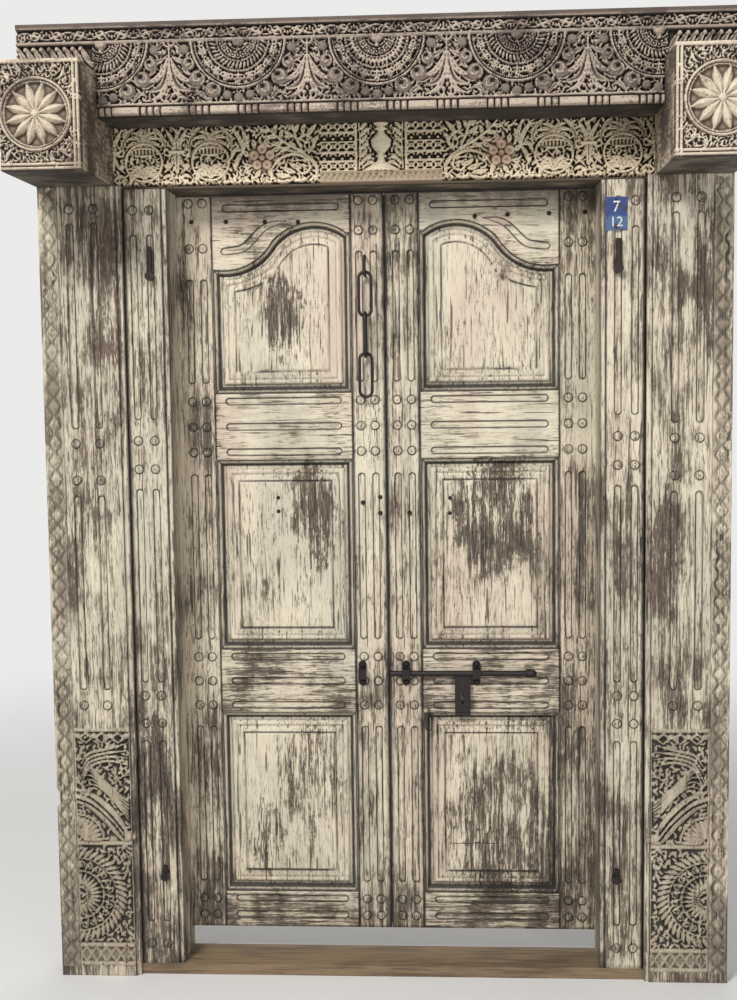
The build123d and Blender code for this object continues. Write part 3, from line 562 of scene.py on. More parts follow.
def old_paint(name, along="z", cover=0.56, dark_above=None, low_wear=0.5, spots=(), cracks=()):
    """Cream paint worn through along the grain to grey-brown wood.
    cover is how much paint is left. dark_above is the height above which much of the paint is taken off,
    showing darker wood.
    spots are worn places: x, z, half width, half height and strength. cracks are x, z, x, z."""
    b = Bench(name)
    scale, shorter = ([run if axis == along else 1 for axis in "xyz"] for run in (0.045, 0.14))
    grain = b.noise(b.stretched(*scale), 420, 5, 0.7)
    fleck = b.noise(b.stretched(*shorter, shift=(2, 5, 8)), 260, 5, 0.78)
    streak = b.noise(b.stretched(*scale, shift=(3.1, 1.7, 0.4)), 95, 6, 0.72, 0.2)
    patch = b.noise(b.stretched(1, 1, 0.6), 8, 5, 0.66)
    wear = streak * 0.3 + patch * 0.32 + grain * 0.2 + fleck * 0.18
    wear = wear + b.step(b.z, low_wear, 0.0) * 0.035
    broken = b.step(fleck * 0.6 + streak * 0.4, 0.44, 0.56) * 0.75 + 0.5
    for x, z, wide, tall, strength in spots:
        wear = wear + b.spot(x, z, wide, tall) * broken * strength
    left = b.step(wear, cover + 0.02, cover - 0.02)
    thin = b.step(wear, cover - 0.09, cover)
    rough = b.step(b.noise(b.stretched(1, 1, 0.5, (7, 3, 1)), 10, 4, 0.6), 0.42, 0.58) * 0.85 + 0.2
    carved = b.attribute("carved")
    if dark_above:
        level = b.z + (patch - 0.5) * 0.16 + (fleck - 0.5) * 0.14
        gone = b.step(level, dark_above - 0.03, dark_above + 0.03)
        left = left * (1 - gone * 0.75)
    left = left.over(carved * 0.86)
    tone = b.noise(b.stretched(1, 1, 0.3, (5, 2, 9)), 5.5, 3, 0.5)
    cream = b.ramp(tone, (0.38, CREAM_PINK), (0.5, CREAM), (0.63, CREAM_GREY))
    cream = b.mix(cream, WASH, (thin * 0.62 + carved * 0.3).under(0.8))
    cream = b.mix(cream, BARE, b.step(grain * 0.5 + fleck * 0.5, 0.5, 0.57) * 0.6 * rough)
    cream = b.mix(cream, GRIME, b.step(fleck, 0.565, 0.63) * 0.85 * rough)
    wood = b.ramp(grain * 0.5 + fleck * 0.5, (0.36, DEEP), (0.46, GRIME), (0.53, BARE), (0.62, WASH))
    wood = b.mix(wood, RED_WOOD, b.step(tone, 0.5, 0.62) * 0.34)
    wood = b.mix(wood, GREY_WOOD, b.step(tone, 0.48, 0.38) * 0.5)
    base = b.mix(wood, cream, left)
    crack = b.step(b.noise(b.stretched(*scale, shift=(9, 4, 2)), 150, 2, 0.5), 0.635, 0.675)
    base = b.mix(base, GRIME, crack * 0.8)
    for ends in cracks:
        base = b.mix(base, DEEP, b.crack(*ends) * 0.95)
    # Painted shade and grime: near black in creases, grooves and where parts meet.
    hollow = b.attribute("dirt")
    base = b.mix(base, DEEP, (b.step(hollow, 0.05, 0.9) * (0.55 + 0.85 * fleck)).under(0.95))
    height = left * 0.4 + grain * 0.3 + fleck * 0.4 - crack * 0.7
    return b.finish(height, 0.9, 0.0022, Base_Color=base, Roughness=0.84 - left * 0.12)


def carved_wood(name, node, high, middle, low, worn=0.5, roses=()):
    """Carving: pale where it stands out, with painted shade and grime turning it brown on its slopes and
    black in the hollows.
    The sides and the back of the node's board are patchy, worn wood, and its underside gets painted shade.
    roses are places, x and z, where a little red paint is left."""
    front = (box_mm(node)[0][1] + CARVED_BACK) * MM
    under = box_mm(node)[0][2] * MM
    b = Bench(name)
    patch = b.noise(b.place, 8, 5, 0.62)
    fine = b.noise(b.place, 240, 5, 0.75)
    streak = b.noise(b.stretched(0.15, 1, 1), 170, 5, 0.7)
    bare = b.step(patch * 0.45 + streak * 0.3 + fine * 0.25, 0.49, 0.57) * worn
    top = b.mix(high, middle, (bare + b.step(fine, 0.48, 0.62) * 0.5).under(1.0))
    hollow = b.attribute("dirt")
    for x, z in roses:
        top = b.mix(top, ROSE_RED, b.spot(x, z, 0.042, 0.042) * 0.5)
    # Painted shade and grime from the attribute: brown on the slopes, black in the hollows.
    base = b.mix(top, low, b.step(hollow, 0.02, 0.36))
    base = b.mix(base, DEEP, b.step(hollow, 0.26, 0.8) * 0.97)
    base = b.mix(base, GRIME, b.step(streak, 0.6, 0.68) * 0.6)
    grain = b.noise(b.stretched(0.1, 0.25, 1), 120, 5, 0.7)
    flat = b.ramp(patch * 0.5 + grain * 0.3 + fine * 0.2,
                  (0.43, GRIME), (0.485, low), (0.53, middle), (0.6, high))
    base = b.mix(base, flat, b.step(b.y, front + 0.012, front + 0.022))
    # Painted shade on the underside of the board.
    base = b.mix(base, DEEP, b.step(b.z, under + 0.003, under + 0.001) * 0.72)
    return b.finish(fine * 0.6 + streak * 0.5, 0.8, 0.0014, Base_Color=base, Roughness=0.8)


def plain_wood(name, pale, dark):
    b = Bench(name)
    grain = b.noise(b.stretched(0.05, 1, 1), 160, 5, 0.62)
    patch = b.noise(b.stretched(0.4, 1, 1), 9, 4, 0.6)
    base = b.mix(pale, dark, b.step(grain * 0.6 + patch * 0.4, 0.42, 0.62))
    return b.finish(grain, 0.5, 0.001, Base_Color=base, Roughness=0.75)


def iron(name, dark, rust, amount):
    b = Bench(name)
    patch = b.noise(b.place, 60, 5, 0.65)
    fine = b.noise(b.place, 420, 4, 0.6)
    rusty = b.step(patch * 0.6 + fine * 0.4, 0.6 - amount * 0.16, 0.7 - amount * 0.16)
    base = b.mix(dark, rust, rusty)
    return b.finish(fine + patch, 0.5, 0.0006, Base_Color=base, Metallic=0.7 - rusty * 0.65,
                    Roughness=0.45 + rusty * 0.4)


def enamel(name, upper, pale, rust, level):
    "Enamel with a paler lower half, chipped to rust."
    b = Bench(name)
    cloud = b.noise(b.place, 48, 4, 0.65)
    chip = b.step(cloud, 0.6, 0.64)
    base = b.mix(pale, upper, b.step(b.z + (cloud - 0.5) * 0.03, level - 0.006, level + 0.004))
    base = b.mix(base, rust, chip)
    return b.finish(1 - chip, 0.4, 0.0006, Base_Color=base, Roughness=0.28 + chip * 0.5)


PAINT_STILE = old_paint("paint_stiles", "z", 0.53, dark_above=2.0, spots=(
    (-0.05, 1.45, 0.07, 0.5, -0.05), (-0.05, 0.95, 0.07, 0.2, -0.04)))
PAINT_RAIL = old_paint("paint_rails", "x", 0.535, spots=(
    (0.0, 0.74, 0.8, 0.14, 0.022), (0.0, 1.45, 0.8, 0.15, -0.035)))
PAINT_TOP = old_paint("paint_top_rails", "x", 0.57, dark_above=1.99)
PAINT_FRAME = old_paint("paint_frame", "z", 0.528, low_wear=0.9, spots=(
    (0.80, 1.84, 0.05, 0.17, 0.09), (-0.68, 1.75, 0.04, 0.22, 0.05), (0.7, 1.1, 0.05, 0.2, 0.05),
    (-0.61, 0.5, 0.06, 0.2, 0.05)))
PAINT_PANELS = {
    "left": old_paint("paint_left_panels", "z", 0.575, spots=(
        (-0.19, 1.19, 0.085, 0.17, 0.125), (-0.266, 1.70, 0.062, 0.13, 0.15),
        (-0.23, 0.5, 0.13, 0.2, 0.075), (-0.34, 0.33, 0.06, 0.12, 0.09), (-0.3, 1.02, 0.05, 0.08, 0.05))),
    "right": old_paint("paint_right_panels", "z", 0.546, spots=(
        (0.28, 1.19, 0.13, 0.19, 0.12), (0.3, 0.36, 0.18, 0.2, 0.07), (0.26, 1.7, 0.18, 0.3, -0.06)),
        cracks=((0.266, 0.377, 0.233, 0.195), (0.154, 0.310, 0.29, 0.311), (0.282, 0.2, 0.262, 0.178)))}
CARVED_DARK = carved_wood("carved_cornice", "cornice", screen(184, 168, 150), screen(108, 93, 84),
                          screen(76, 64, 57), 1.0)
CARVED_PALE = carved_wood("carved_frieze", "lintel", screen(240, 224, 194), screen(186, 166, 136),
                          screen(122, 102, 80), 0.45, roses=((-0.297, 2.101), (0.297, 2.101)))
CARVED_BLOCKS = {
    "left": carved_wood("carved_left_block", "corner_block_left", screen(200, 186, 164),
                        screen(142, 126, 108), screen(88, 74, 62), 1.0),
    "right": carved_wood("carved_right_block", "corner_block_right", screen(213, 200, 178),
                         screen(164, 148, 128), screen(100, 84, 70), 0.7)}
WOOD_SILL = plain_wood("sill_wood", screen(134, 113, 86), screen(92, 76, 60))
BLACK_IRON = iron("black_iron", screen(46, 42, 41), screen(88, 62, 46), 0.15)
RUSTY_IRON = iron("rusty_iron", screen(48, 42, 39), screen(84, 58, 44), 0.35)


# Cornice

def carve_medallion(r, cx, cz):
    "Half-round medallion under a line: rings of petals and scrolls, with fruit-like lobes round it."
    for angle, radius, out in ((189, 13, 130), (204, 17, 131), (222, 21, 132), (242, 21, 131), (258, 12, 131),
                               (270, 13, 135), (282, 12, 131), (298, 21, 131), (318, 21, 132), (336, 17, 131),
                               (351, 13, 130)):
        lx, lz = polar(cx, cz, out, math.radians(angle))
        r.dome(lx, lz, radius, 11, power=0.3)
        if radius > 15:
            side = 1 if angle < 270 else -1
            r.scroll(lx, lz, radius - 2, angle + 80 * side, 430 * side, 4.5, 15)
            r.pit(lx + side * 4, lz + 5, radius * 0.35, 7)
        # Painted shade over the low parts of each lobe, leaving its raised scroll light.
        part, d = r.disc(lx, lz, radius)
        r.shade_and_soil((d < radius) * (r.h[part] < 4) * 0.24, part)
    part, d = r.disc(cx, cz, 118)
    r.h[part] = np.where(d < 116, r.ground, r.h[part])
    for radius, width, height, beads in ((112, 7, 14, 0), (104, 5, 10, 120), (74, 7, 14, 70),
                                         (50, 4.5, 12, 0), (23, 5, 10, 24)):
        r.ring(cx, cz, radius, width, height, LOWER_HALF, beads)
    r.dome(cx, cz, 17, 15)
    for angle in np.arange(192, 355, 19.5):
        px, pz = polar(cx, cz, 37, math.radians(angle))
        r.ring(px, pz, 6.5, 3.6, 12)
        r.dome(px, pz, 3.5, 12)
    r.petals(cx, cz, 27, 47, np.arange(201.7, 350, 19.5), 5, 12)
    r.petals(cx, cz, 53, 70, np.arange(184, 360, 8.6), 7.5, 12, bend=6)
    for angle in np.arange(189, 355, 18):
        a = math.radians(angle)
        px, pz = polar(cx, cz, 90, a)
        for side in (-1, 1):
            r.scroll(px - side * 6 * math.sin(a), pz + side * 6 * math.cos(a), 10, angle + side * 90,
                     side * 290, 5, 12)
            r.petals(cx, cz, 80, 101, (angle + side * 4,), 4.5, 12, bend=side * 3)
        r.petals(cx, cz, 78, 102, (angle + 9,), 8, 13, "vein")


def carve_pendant(r, cx, top):
    "Stem between two medallions, with curling leaves and a lotus bud."
    r.ring(cx, top - 3, 12, 5.5, 14, LOWER_HALF)
    r.strokes(around(cx, top), (((0, -14), (0, -60), (0, -100)), [6, 9, 14], 15, "vein"))
    for side in (-1, 1):
        r.strokes(around(cx, top, side),
                  (((3, -18), (12, -8), (24, -14), (28, -34)), [4, 9, 10, 2], 13, "gouge"),
                  (((5, -34), (18, -44), (34, -52), (40, -72), (58, -82)), [4, 12, 15, 12, 2], 15, "gouge"),
                  (((4, -40), (12, -62), (28, -86), (60, -98)), [4, 14, 17, 2], 15, "vein"),
                  (((3, -50), (8, -80), (24, -108), (58, -120)), [4, 14, 18, 2], 15, "gouge"),
                  (((3, -66), (7, -98), (22, -126), (52, -140)), [4, 12, 15, 2], 15, "vein"),
                  (((22, -66), (40, -96), (60, -108), (76, -104)), [3, 9, 11, 2], 13, "gouge"),
                  (((2, -96), (14, -108), (22, -122), (18, -138), (4, -141)), [4, 7, 8, 7, 5], 13, "round"),
                  (((56, -128), (72, -122), (92, -142)), [4, 14, 4], 13, "gouge"),
                  (((88, -140), (104, -128), (112, -142)), [4, 12, 4], 12, "vein"))
        r.scroll(cx + side * 22, top - 26, 9, 90, side * -300, 5, 13)
        r.dome(cx + side * 8, top - 126, 6, 13)


def carve_vine(r, low, high, end):
    "Running vine in a band, with a leaf or a flower in each loop."
    middle = (low + high) / 2
    half = (high - low) / 2 - 2
    period = 105.0
    x = np.arange(-end, end + 1, 4.0)
    r.stroke(list(zip(x, middle + half * 0.75 * np.cos(2 * math.pi * x / period))), 5, 9)
    for k in range(-int(end / period) - 1, int(end / period) + 2):
        for shift, up in ((0, -1), (0.5, 1)):
            cx, cz = (k + shift) * period, middle + up * half * 0.25
            if abs(cx) > end - 12:
                continue
            for side in (-1, 1):
                at = around(cx, cz, side, up)
                r.scroll(cx + side * 9, cz, 8.5, 90 * up, side * up * -320, 4.2, 9)
                r.stroke(at((18, -6), (30, -1), (40, -8)), [3, 9, 2], 9)
                r.stroke(at((19, 5), (28, 6), (37, 1)), [3, 7, 2], 9)
            r.stroke(at((0, -3), (0, 8)), [3, 7, 2], 9)


def carve_cornice(step_up):
    low, high = box_mm("cornice")
    inner = box_mm("corner_block_right")[0][0]
    end, bottom, top = high[0], low[2], high[2]
    fillet = top - 45
    r = Relief(lines(-end, end, 2.35), lines(bottom, top, 2.3), CUT_DEEP)
    r.clear()
    pitch = (inner - 14) / 2
    for n in (0, 1, 2):
        carve_medallion(r, n * pitch, fillet)
    for n in (0.5, 1.5):
        carve_pendant(r, n * pitch, fillet)
    r.clear(inner + 6, end, bottom, fillet)
    tall = fillet - step_up
    for k in range(11):
        cx = inner + 10 + k * 19
        leaf = around(cx, step_up)((-6, 0.2 * tall), (4, 0.36 * tall), (24, 0.86 * tall))
        r.stroke(leaf, [6, 17, 7], 14, "gouge")
        r.dome(cx + 25, step_up + 0.8 * tall, 6, 13)
    r.stroke([(inner + 4, step_up + 3), (end, step_up + 3)], 6, 11)
    r.fill((2, inner), (bottom + 34, fillet - 4), 6, 14, 7, 12, 3)
    r.fill((2, inner), (bottom + 34, fillet - 4), 5, 9, 5, 9, 4)
    r.mirror()
    r.ground = CUT_SHALLOW
    r.h[r.z >= fillet - 3] = r.ground
    carve_vine(r, fillet + 5, top - 15, end)
    r.fill((-end, end), (fillet + 8, top - 16), 7, 12, 6, 8, 5, lean=0)
    part = r.part(-end, end, fillet - 4, fillet + 5)
    r.raise_to(part, 6 * half_round((r.z[part] - fillet) / 4.8) - 1)
    part = r.part(-end, end, top - 14, top)
    r.raise_to(part, np.clip((r.z[part] - (top - 14)) / 2, 0, 1) * 9 - 3)
    part = r.part(-inner, inner, bottom, bottom + 34)
    z = r.z[part]
    r.h[part] = np.where(z < bottom + 30, -8, r.h[part])
    r.raise_to(part, 11 * half_round((z - bottom - 28) / 3.6) - 8)
    x = (r.x[part] + 400) % 118
    roll = 18 * half_round((z - bottom - 12) / 11.5)
    beads = 1 - 0.9 * (np.abs(((x - 70) % 16) - 8) / 8) ** 3
    reel = np.where(x < 70, np.clip((35 - np.abs(x - 35)) / 3.5, 0, 1), beads)
    r.raise_to(part, roll * reel - 8)
    r.deepen(1.5)
    r.roughen(0.5, 4)
    r.settle_grime_and_shade(9.5, -6.0, 13.0)
    # Darker along the top strip of the cornice and along the fillet.
    r.shade_and_soil(np.clip((r.z - top + 13) / 5, 0, 1) * 0.3)
    r.shade_and_soil((np.abs(r.z - fillet) < 5) * 0.15)
    return r


def carved_board(name, relief, node, material, back_grime_and_shade, *replaced, keep=None):
    low, high = box_mm(node)
    piece = board(name, relief, low[1] + CARVED_BACK, high[1], keep=keep, back_grime_and_shade=back_grime_and_shade)
    place_piece(piece, material, "frame", *replaced, slot="carved_wood")


def build_cornice():
    "The middle hangs down between the corner blocks, and the ends stand on them."
    block_low, block_high = box_mm("corner_block_right")
    inner, step_up = block_low[0], block_high[2]
    relief = carve_cornice(step_up)
    carved_board("cornice_front", relief, "cornice", CARVED_DARK, 0.3, "cornice", keep=(-inner, inner))
    upper = relief.above(step_up)
    x = relief.x[:, 0]
    inside = x[(x >= -inner) & (x <= inner)]
    for word, keep in (("left", (x[0], inside[0])), ("right", (inside[-1], x[-1]))):
        carved_board("cornice_end_" + word, upper, "cornice", CARVED_DARK, 0.3, keep=keep)


build_cornice()


# Frieze

def carve_roundel(r, cx, cz):
    "Round medallion of long curling plumes, with an eye-shaped lens and a crown of plumes above."
    eye = cz + 25
    for side in (-1, 1):
        at = around(cx, eye, side)
        r.stroke(at((50, -16), (52, 22), (36, 52), (10, 68)), [3, 9, 11, 3], 12, "gouge")
        for root, angle, length in ((-66, 10, 44), (-66, 34, 52), (-64, 58, 50), (-60, 84, 42),
                                    (10, 8, 52), (10, 32, 50), (10, 58, 44), (10, 84, 40)):
            a = math.radians(90 - angle)
            b = math.radians(90 - angle - (26 if root < 0 else 30))
            r.stroke(at((2, root), polar(0, root, 0.6 * length, a), polar(0, root, length, b)),
                     [4, 12, 12, 2], 14, "vein")
        r.scroll(cx + side * 40, eye + 20, 10, 90, side * -300, 5, 12)
        r.scroll(cx + side * 30, cz - 34, 9, 270, side * 300, 5, 13)
    r.ring(cx, cz, 46, 7, 16)
    lens = r.part(cx - 35, cx + 35, eye - 13, eye + 13)
    dx = (r.x[lens] - cx) / 34
    dz = (r.z[lens] - eye) / (12 * np.sqrt(np.clip(1 - dx * dx, 0.02, 1)))
    rim = np.abs(dz)
    hatch = 1 + 3.5 * np.sin(r.x[lens] * 2 * math.pi / 9)
    level = np.where(rim > 0.6, 7.5, hatch)
    r.h[lens] = np.where((rim < 1) & (np.abs(dx) < 1), level, r.h[lens])


def carve_tied_palmette(r, cx, cz):
    "Bundle of leaves tied with a bar, opening up and down, with curls at its sides."
    for side in (-1, 1):
        r.strokes(around(cx, cz, side),
                  (((4, 0), (10, 26), (28, 58)), [6, 12, 12, 2], 13, "vein"),
                  (((6, -4), (14, -30), (34, -52)), [5, 11, 10, 2], 13, "vein"),
                  (((4, -66), (22, -58), (40, -68)), [5, 12, 2], 12, "vein"))
        r.scroll(cx + side * 24, cz + 2, 15, 90 + side * 60, side * 330, 7, 13)
        r.dome(cx + side * 26, cz - 34, 8, 12)
    r.strokes(around(cx, cz),
              (((0, 2), (0, 64)), [6, 13, 2], 13, "vein"),
              (((0, 0), (0, -48)), [8, 18, 12], 13, "vein"),
              (((-18, 0), (18, 0)), 10, 16, "round"))


def carve_rose(r, cx, cz):
    "Five-petalled rose in a cup of leaves."
    for k in range(8):
        a = math.radians(45 * k + 20)
        r.stroke([polar(cx, cz, 30, a - 0.2), polar(cx, cz, 52, a)], [4, 16, 3], 12, "vein")
    r.dome(cx, cz, 36, 4, CUT_SHALLOW, 0.2)
    for k in range(5):
        px, pz = polar(cx, cz, 21, math.radians(90 + 72 * k))
        r.dome(px, pz, 12.5, 13, CUT_SHALLOW, 0.35)
        r.pit(px, pz, 8, 7)
    r.dome(cx, cz, 8, 13, CUT_SHALLOW)
    r.pit(cx, cz, 4, 6)


LOWER_LEAVES = ((-14, -34, 16, -20, 16), (0, -44, 34, -30, 17), (14, -52, 52, -46, 16),
                (-30, -58, 0, -66, 12), (10, -64, 50, -66, 13), (56, -60, 62, -36, 12))
UPPER_LEAVES = ((-30, 42, -56, 74, 15), (-20, 48, -28, 80, 14), (2, 42, 28, 60, 14), (2, 60, 24, 80, 14),
                (-4, 56, -14, 80, 12), (34, 38, 30, 62, 13), (50, 48, 44, 78, 14), (44, 44, 74, 44, 14),
                (28, 30, 60, 22, 14), (12, 18, 40, 4, 14), (-44, 20, -62, 48, 14), (62, 60, 88, 58, 13),
                (60, 20, 88, 28, 12), (-2, 20, 14, 34, 12))


def carve_leafy_scroll(r, cx, cz):
    """Big scroll with oak-like leaves, between the rose and the lattice.
    A leaf is its root, its tip and its width, and bow is how far its middle is pulled aside."""
    at = around(cx, cz)
    r.strokes(at,
              (((66, 30), (10, 8), (-30, -6), (-54, -34), (-50, -64)), [4, 8, 12, 12, 8], 15, "vein"),
              (((64, -44), (40, -12), (4, 0), (-28, -12), (-36, -36), (-18, -48), (-4, -36)),
               [4, 8, 9, 9, 8, 7, 9], 14, "round"),
              (((-34, 4), (-48, 26), (-28, 46), (-8, 34), (-16, 20)), [8, 10, 10, 8, 10], 13, "vein"),
              (((78, 78), (52, 50), (20, 26), (-18, 6)), [5, 8, 9, 9], 15, "round"),
              (((-18, 8), (-2, 44), (6, 80)), [6, 9, 7], 15, "round"))
    for leaves, bow, height in ((LOWER_LEAVES, (0, -3), 13), (UPPER_LEAVES, (3, 0), 14)):
        for px, pz, qx, qz, w in leaves:
            middle = ((px + qx) / 2 + bow[0], (pz + qz) / 2 + bow[1])
            r.stroke(at((px, pz), middle, (qx, qz)), [5, w, w * 0.8, 2], height, "vein")


def carve_lattice(r, x, z):
    "Panel of small pierced crosses and crescents in rows."
    r.clear(*x, *z)
    columns, rows = 4, 5
    wide = (x[1] - x[0]) / columns
    tall = (z[1] - z[0]) / rows
    for row in range(rows):
        for column in range(columns):
            cx, cz = x[0] + wide * (column + 0.5), z[0] + tall * (row + 0.5)
            at = around(cx, cz)
            if row % 2:
                r.ring(cx, cz, 7.5, 5, 12, UPPER_HALF)
                r.dome(cx, cz - 5, 4.5, 11)
                r.stroke(at((-11, 8), (11, 8)), 4, 11)
            else:
                r.stroke(at((-10, -8), (0, 4), (10, -8)), 6, 12)
                r.stroke(at((-10, 9), (0, -2), (10, 9)), 6, 12)
                r.pit(cx, cz, 3, 5)
        r.raise_to(r.part(*x, z[0] + tall * row - 2.5, z[0] + tall * row + 2.5), 3)


def carve_vase(r, base):
    "Vase on a low foot between two fronds, in a frame."
    part = r.part(-42, 42, base, base + 122)
    levels = base + np.array([0, 3, 12, 22, 30, 35, 40, 60, 76, 90, 96, 101, 106, 112, 120])
    outline = np.interp(r.z[part], levels, [48, 46, 30, 12, 9, 17, 9, 25, 26, 12, 9, 20, 10, 18, 22])
    r.h[part] = np.where(np.abs(r.x[part]) < outline + 4.5, -9, r.h[part])
    s = np.abs(r.x[part]) / outline
    r.raise_to(part, 15 * half_round(s) - 7, s < 1)
    for side in (-1, 1):
        at = around(0, base, side)
        r.stroke(at((54, 4), (52, 60), (54, 118)), 5, 12)
        for level in range(16, 102, 17):
            r.stroke(at((51, level), (42, level + 10), (33, level + 22)), [5, 12, 10, 2], 12, "vein")
        r.dome(side * 31, base + 34, 8, 13)
        r.stroke(at((6, 6), (26, 20), (48, 6)), [5, 12, 4], 12, "vein")


def carve_frieze():
    low, high = box_mm("lintel")
    inner = box_mm("corner_block_right")[0][0]
    bottom, top = low[2], high[2]
    r = Relief(lines(-inner, inner, 2.3), lines(bottom, top, 2.2), CUT_DEEP)
    r.clear()
    carve_leafy_scroll(r, 214, bottom + 80)
    carve_rose(r, 297, bottom + 73)
    for cx in (426, 594):
        carve_roundel(r, cx, bottom + 66)
    for cx in (511, 676):
        carve_tied_palmette(r, cx, bottom + 92)
    for bend, tip, w in (((8, 30), (30, 62), 14), ((-6, 26), (4, 64), 13), ((14, -20), (22, -50), 13),
                         ((20, 4), (34, -24), 12)):
        r.stroke(around(344, bottom + 90)((0, 0), bend, tip), [w * 0.4, w, w * 0.9, 2], 13, "vein")
    r.fill((152, inner), (bottom + 14, top), 7, 17, 8, 12, 11)
    r.fill((152, inner), (bottom + 14, top), 5, 10, 5.5, 10, 12)
    carve_lattice(r, (64, 152), (bottom + 35, bottom + 156))
    r.clear(0, 64, bottom, top)
    r.fill((0, 56), (bottom + 38, top), 6, 11, 6, 9, 15)
    carve_vase(r, bottom + 36)
    r.raise_to(r.part(58, 66, bottom + 34, top), 4)
    part = r.part(0, 154, bottom + 8, bottom + 36)
    tooth = np.abs((r.x[part] % 15) - 7.5) * 1.4
    wave = 2 + 2.5 * np.sin(r.x[part] * 2 * math.pi / 15)
    r.h[part] = np.where(r.z[part] > bottom + 13 + tooth, wave, r.ground)
    r.raise_to(part, 6 * np.clip(1 - np.abs(r.z[part] - bottom - 33) / 3, 0, 1))
    for cx in range(166, 647, 30):
        r.stroke(around(cx, bottom)((-14, 12), (0, 22), (15, 12)), [4, 11, 2], 12, "gouge")
    r.mirror()
    r.h[r.z < bottom + 7] = -2
    r.deepen(1.6)
    r.roughen(0.45, 8)
    r.settle_grime_and_shade(11.0, -8.0, 12.0)
    # Painted shade along the lower edge of the frieze.
    r.shade_and_soil(np.clip((bottom + 16 - r.z) / 12, 0, 1) * 0.6)
    # Darker over the toothed border in the middle of the frieze.
    r.shade_and_soil((r.z < bottom + 36) * (np.abs(r.x) < 154) * 0.22)
    return r


carved_board("frieze_front", carve_frieze(), "lintel", CARVED_PALE, 0.36, "lintel")


# Corner blocks

def carve_block(side):
    low, high = box_mm("corner_block_right")
    r = Relief(lines(low[0], high[0], 2.3), lines(low[2], high[2], 2.3), CUT_BLOCK)
    r.clear()
    cx, cz = high[0] - 84, low[2] + 127
    for corner in (-135, -45, 45, 135):
        for j in (-1, 0, 1):
            b = math.radians(corner) + j * 0.3
            px, pz = cx + 102 * math.cos(b), cz + 105 * math.sin(b)
            r.scroll(px, pz, 13, math.degrees(b), 330 * (j or 1), 4, 9)
            r.stroke([polar(cx, cz, 92, b + 0.1), polar(cx, cz, 106, b + 0.16), polar(cx, cz, 128, b + 0.1)],
                     [3, 9, 2], 9, "vein")
    r.fill((low[0] + 24, high[0]), (low[2] + 24, high[2]), 6.5, 12, 4.5, 7, 21)
    part, d = r.disc(cx, cz, 92)
    r.h[part] = np.where(d < BLOCK_RING, r.ground, r.h[part])
    r.ring(cx, cz, 81, 6, 11)
    r.ring(cx, cz, 74, 3.5, 7)
    for k in range(12):
        a = math.radians(15 + 30 * k)
        r.stroke([polar(cx, cz, 8, a), polar(cx, cz, 72, a)], [5, 16, 29, 25, 14, 2], 13, "ridge")
    r.dome(cx, cz, 9, 9, 0)
    for n in (0, 1):
        for part, across in ((r.part(low[0], low[0] + 24, low[2], high[2]), r.x - low[0]),
                             (r.part(low[0], high[0], low[2], low[2] + 24), r.z - low[2])):
            r.raise_to(part, 6 * np.clip(1.6 - np.abs(across[part] - 5 - 9 * n) / 2.6, 0, 1) - 3)
    r.raise_to(r.part(low[0], high[0], high[2] - 8, high[2]), 4)
    if side < 0:
        flip(r)
    r.deepen(1.6)
    r.roughen(0.45, 12 + side)
    r.settle_grime_and_shade(8.0, -3.0, 8.0)
    inside = np.hypot(np.abs(r.x) - cx, r.z - cz) < BLOCK_RING
    # Painted shade and grime, weaker inside the ring of the rosette than round it.
    r.dirt *= np.where(inside, 0.42, 0.72)
    return r


for side, word in SIDES:
    node = "corner_block_" + word
    carved_board("corner_rosette_" + word, carve_block(side), node, CARVED_BLOCKS[word], 0.36, node)


# Uprights of the frame

def upright_flutes(r, columns, spans):
    for x in columns:
        for low, high in spans:
            r.groove([(x, low + FLUTE / 2), (x, high - FLUTE / 2)], FLUTE, FLUTE_DEPTH)


def edge_grime_and_shade(r, x, width, strength):
    """Dark line along an upright line: painted shade where the face steps down or meets the next part, and
    the dark of a joint.
    """
    r.shade_and_soil(strength * bell((r.x - x) / width))


def shade_round_bosses(r, columns, rows):
    """Painted shade in a ring round the foot of each boss."""
    for x in columns:
        for z in rows:
            part, d = r.disc(x, z, BOSS_RADIUS + 6)
            r.shade_and_soil(bell((d - BOSS_RADIUS - 0.8) / 2.2), part)


def jamb_bosses(top):
    return 83, 670, 742, 1327, 1399, top - 52


def pilaster_bosses(top):
    return 720, 1301, 1394, top - 56


def carve_jamb():
    low, high = box_mm("jamb_right")
    top = high[2]
    spans = ((142, 625), (776, 1277), (1452, top - 112))
    columns = [low[0] + x for x in JAMB_COLUMNS]
    rows = jamb_bosses(top)
    fine_z = [(z - 16, z + 16) for span in spans for z in span] + [(z - 15, z + 15) for z in rows]
    xs = graded(low[0], high[0], [(low[0], low[0] + 18)] + [(c - 13, c + 13) for c in columns])
    r = Relief(xs, graded(low[2], top, fine_z))
    r.h[r.x < low[0] + REBATE] = -5
    for x, width, strength in ((low[0] + REBATE, 3, 0.9), (low[0], 3, 0.6), (high[0], 6, 1.0)):
        edge_grime_and_shade(r, x, width, strength)
    upright_flutes(r, columns, spans)
    shade_round_bosses(r, columns, rows)
    return r


